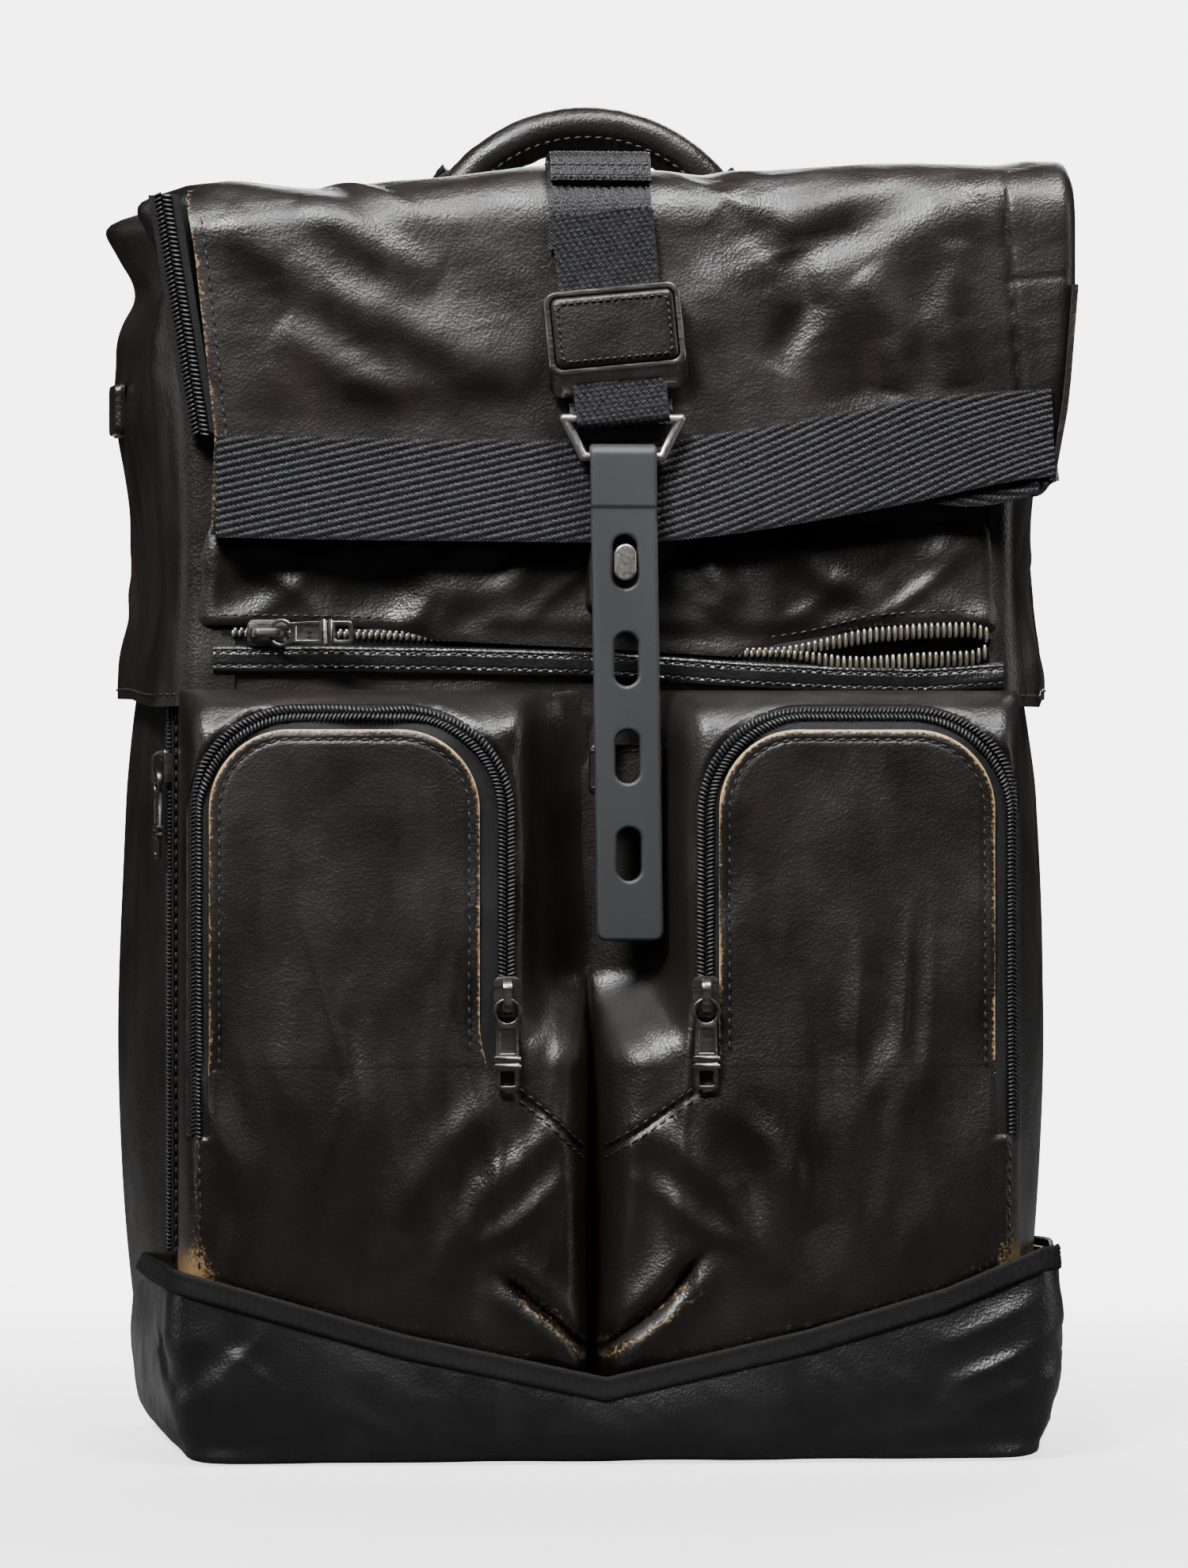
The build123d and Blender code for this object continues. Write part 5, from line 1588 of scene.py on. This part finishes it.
for side in (-1, 1):
    start = np.array([HANDLE_X + half_w * side, gy, z_end])
    down = unit(np.array([side * 0.62, 0.0, -0.86]))
    leg = start + down[None] * np.linspace(-8, 22, 30)[:, None]
    lean = np.broadcast_to([0.86 * side, 0, 0.62], leg.shape).copy()
    leg_ob = webbing(
        f"handle_leg_{'left' if side < 0 else 'right'}", leg, lean, 20, WEB, thick=2.4, step=0.8
    )
    piece(leg_ob, "handle", "webbing", *(["handle_webbing"] if side > 0 else []))

# side tabs
lo, hi = node_box("side_tabs")
for side in (-1, 1):
    xw = 155 + 21 / 130 * (30 + 65)
    n2 = unit(np.array([side, -0.16, 0]))
    t2 = np.array([0.16 * side, 1.0, 0])
    ctr = np.array([side * (xw + 0.3), 30, 394.5])
    rim = rounded_path([(-10, -10.5), (10, -10.5), (10, 10.5), (-10, 10.5)], [3] * 4, 1.0, closed=True)[:-1]
    P = []
    for k in (0.0, 0.3, 0.6, 0.8, 0.9, 0.96, 1.0):
        P.append(
            ctr
            + t2 * rim[:, :1] * k
            + np.array([0, 0, 1.0]) * rim[:, 1:] * k
            + n2 * 12.8 * (1 if k < 0.93 else 0.85)
        )
    P = np.array(P).transpose(1, 0, 2)
    tab = sheet(f"side_tab_{'left' if side < 0 else 'right'}", P, 1.6, [BLACK], closed=True, flip=side > 0)
    piece(tab, "bag", "black_leather", *(["side_tabs"] if side > 0 else []))


# ---------------------------------------------------------------- inside
ring_in = rounded_path(
    [(-150.5, -61), (150.5, -61), (171, 61), (-171, 61)], [9, 9, 20, 20], 3.0, closed=True
)[:-1]
zs = np.linspace(8, 444, 110)
P = np.concatenate(
    [
        np.broadcast_to(ring_in[:, None], (len(ring_in), len(zs), 2)),
        np.broadcast_to(zs[None, :, None], (len(ring_in), len(zs), 1)),
    ],
    -1,
).copy()
sag = folds(P[..., 0] + P[..., 1], P[..., 2], 170, 30, 80, 3) * 1.2 * ramp(P[..., 2], 10, 40)
P[..., :2] *= (1 - 0.006 * (1 + sag))[..., None]
floor_rows = np.stack(
    [
        np.concatenate([ring_in * k, np.full((len(ring_in), 1), 8.0)], -1)
        for k in np.linspace(0.0, 0.98, 12)
    ],
    1,
)
P = np.concatenate([floor_rows, P], 1)
piece(sheet("lining_bag", P, 0.9, [LINING], closed=True), "bag", "lining", "main_lining")
lo, hi = node_box("laptop_divider")
divider = puffed(
    "sleeve_pad",
    0,
    (lo[2] + hi[2]) / 2,
    hi[0] - lo[0],
    hi[2] - lo[2],
    12,
    hi[1],
    5.0,
    [LINING],
    edge=4.0,
    step=3.0,
    bumps=lambda x,
    z: -1.0 * bell((x + z) % 40 - 20, 2.5),
)
piece(divider, "bag", "lining", "laptop_divider")


# ---------------------------------------------------------------- CAD pieces that are shown as they are
def hard(name, mat, bevel=0.25):
    ob = NODES[name]
    ob.data.materials.clear()
    ob.data.materials.append(mat)
    weld = ob.modifiers.new("weld", "WELD")
    weld.merge_threshold = 0.00002
    if bevel:
        edge = ob.modifiers.new("bevel", "BEVEL")
        edge.width = bevel * MM
        edge.segments = 2
        edge.limit_method = "ANGLE"
        edge.angle_limit = math.radians(35)
        edge.harden_normals = True
    ob.data.shade_smooth()
    ob.data.set_sharp_from_angle(angle=math.radians(35))


for name in (
    "left_pocket_slider",
    "right_pocket_slider",
    "left_pocket_pull",
    "right_pocket_pull",
    "front_slider",
    "front_pull",
    "side_slider",
    "side_pull",
    "buckle_frame",
):
    hard(name, GUNMETAL)
for name in ("strap_ring", "strap_stud", "side_rings"):
    hard(name, NICKEL, 0)
for name in ("left_strap_adjuster", "right_strap_adjuster", "frame_sheet"):
    hard(name, PLASTIC, 0.5)
hard("base_board", BOARD, 0)


# ---------------------------------------------------------------- stage, light and camera
def plain(name, colour, rough=0.9):
    """Pale paint near the bag that runs out into the bright backdrop."""
    f = Finish(name, rough, spec=0.2)
    seen = f.add("ShaderNodeLightPath").outputs["Is Camera Ray"]
    pale = f.mix(f.span(f.noise(3, 2), 0.3, 0.7, 0, 1), colour, tuple(0.985 * c for c in colour))
    f.set("Base Color", f.mix(seen, tuple(0.16 * c for c in colour), pale))
    far = f.add("ShaderNodeVectorMath", {"Vector": f.where}, operation="LENGTH").outputs["Value"]
    share = f.math("MULTIPLY", f.span(far, 0.2, 0.75, 0.35, 1.0), seen)
    glow = f.add("ShaderNodeEmission", Strength=5.5)
    both = f.add("ShaderNodeMixShader", {"Fac": share})
    f.tree.links.new(f.bsdf.outputs[0], both.inputs[1])
    f.tree.links.new(glow.outputs[0], both.inputs[2])
    f.tree.links.new(both.outputs[0], f.tree.nodes["Material Output"].inputs["Surface"])
    return f.mat


ground = make(
    "floor",
    [(-9000, -9000, 0), (9000, -9000, 0), (9000, 9000, 0), (-9000, 9000, 0)],
    [(0, 1, 2, 3)],
    [plain("floor_paint", (0.9, 0.9, 0.9))],
)
world = bpy.data.worlds.new("studio")
world.use_nodes = True
sky = world.node_tree.nodes["Background"]
sky.inputs["Color"].default_value = (1.0, 1.0, 1.0, 1)
ray = world.node_tree.nodes.new("ShaderNodeLightPath")
level = world.node_tree.nodes.new("ShaderNodeMapRange")
level.inputs["To Min"].default_value = 0.02
level.inputs["To Max"].default_value = 5.5
world.node_tree.links.new(ray.outputs["Is Camera Ray"], level.inputs["Value"])
world.node_tree.links.new(level.outputs[0], sky.inputs["Strength"])
bpy.context.scene.world = world


def lamp(name, place, target, size, power, size_y=None, spread=180):
    """A soft rectangular lamp; a small spread in degrees keeps its light near the target."""
    data = bpy.data.lights.new(name, "AREA")
    data.spread = math.radians(spread)
    data.shape = "RECTANGLE"
    data.size = size
    data.size_y = size_y or size
    data.energy = power
    ob = bpy.data.objects.new(name, data)
    bpy.context.scene.collection.objects.link(ob)
    ob.location = place
    ob.rotation_euler = (Vector(target) - Vector(place)).to_track_quat("-Z", "Y").to_euler()


lamp("key", (-0.6, -0.95, 1.5), (-0.09, -0.08, 0.5), 0.9, 6.4, 0.6, 28)
lamp("top", (0.4, -0.6, 1.6), (0.06, -0.06, 0.5), 0.8, 2.6, 0.4, 28)
lamp("fill", (-0.35, -1.5, 1.35), (0.0, -0.1, 0.3), 0.5, 0.15, 0.9)
lamp("right", (1.6, -0.25, 0.45), (0, 0, 0.25), 0.4, 8, 1.4)
lamp("left", (-1.6, -0.15, 0.45), (0, 0, 0.25), 0.4, 5, 1.4)
lamp("low", (0.2, -1.7, 0.35), (0, 0, 0.2), 0.9, 0.3, 0.5)
lamp("back", (0.45, 2.0, 1.3), (0, 0, 0.3), 1.0, 60)
lamp("back_low", (-0.1, 2.1, 0.5), (0, 0, 0.25), 0.5, 10, 0.8)

camera = bpy.data.objects.new("camera", bpy.data.cameras.new("camera"))
bpy.context.scene.collection.objects.link(camera)
swing, reach, height = math.radians(-3.5), 2.3, 0.25
AIM_X = 0.0018
camera.location = (math.sin(swing) * reach + AIM_X, -math.cos(swing) * reach, height)
camera.rotation_euler = (Vector((AIM_X, 0, height)) - camera.location).to_track_quat("-Z", "Y").to_euler()
camera.data.sensor_width = 36
camera.data.lens = 137.5
bpy.context.scene.camera = camera
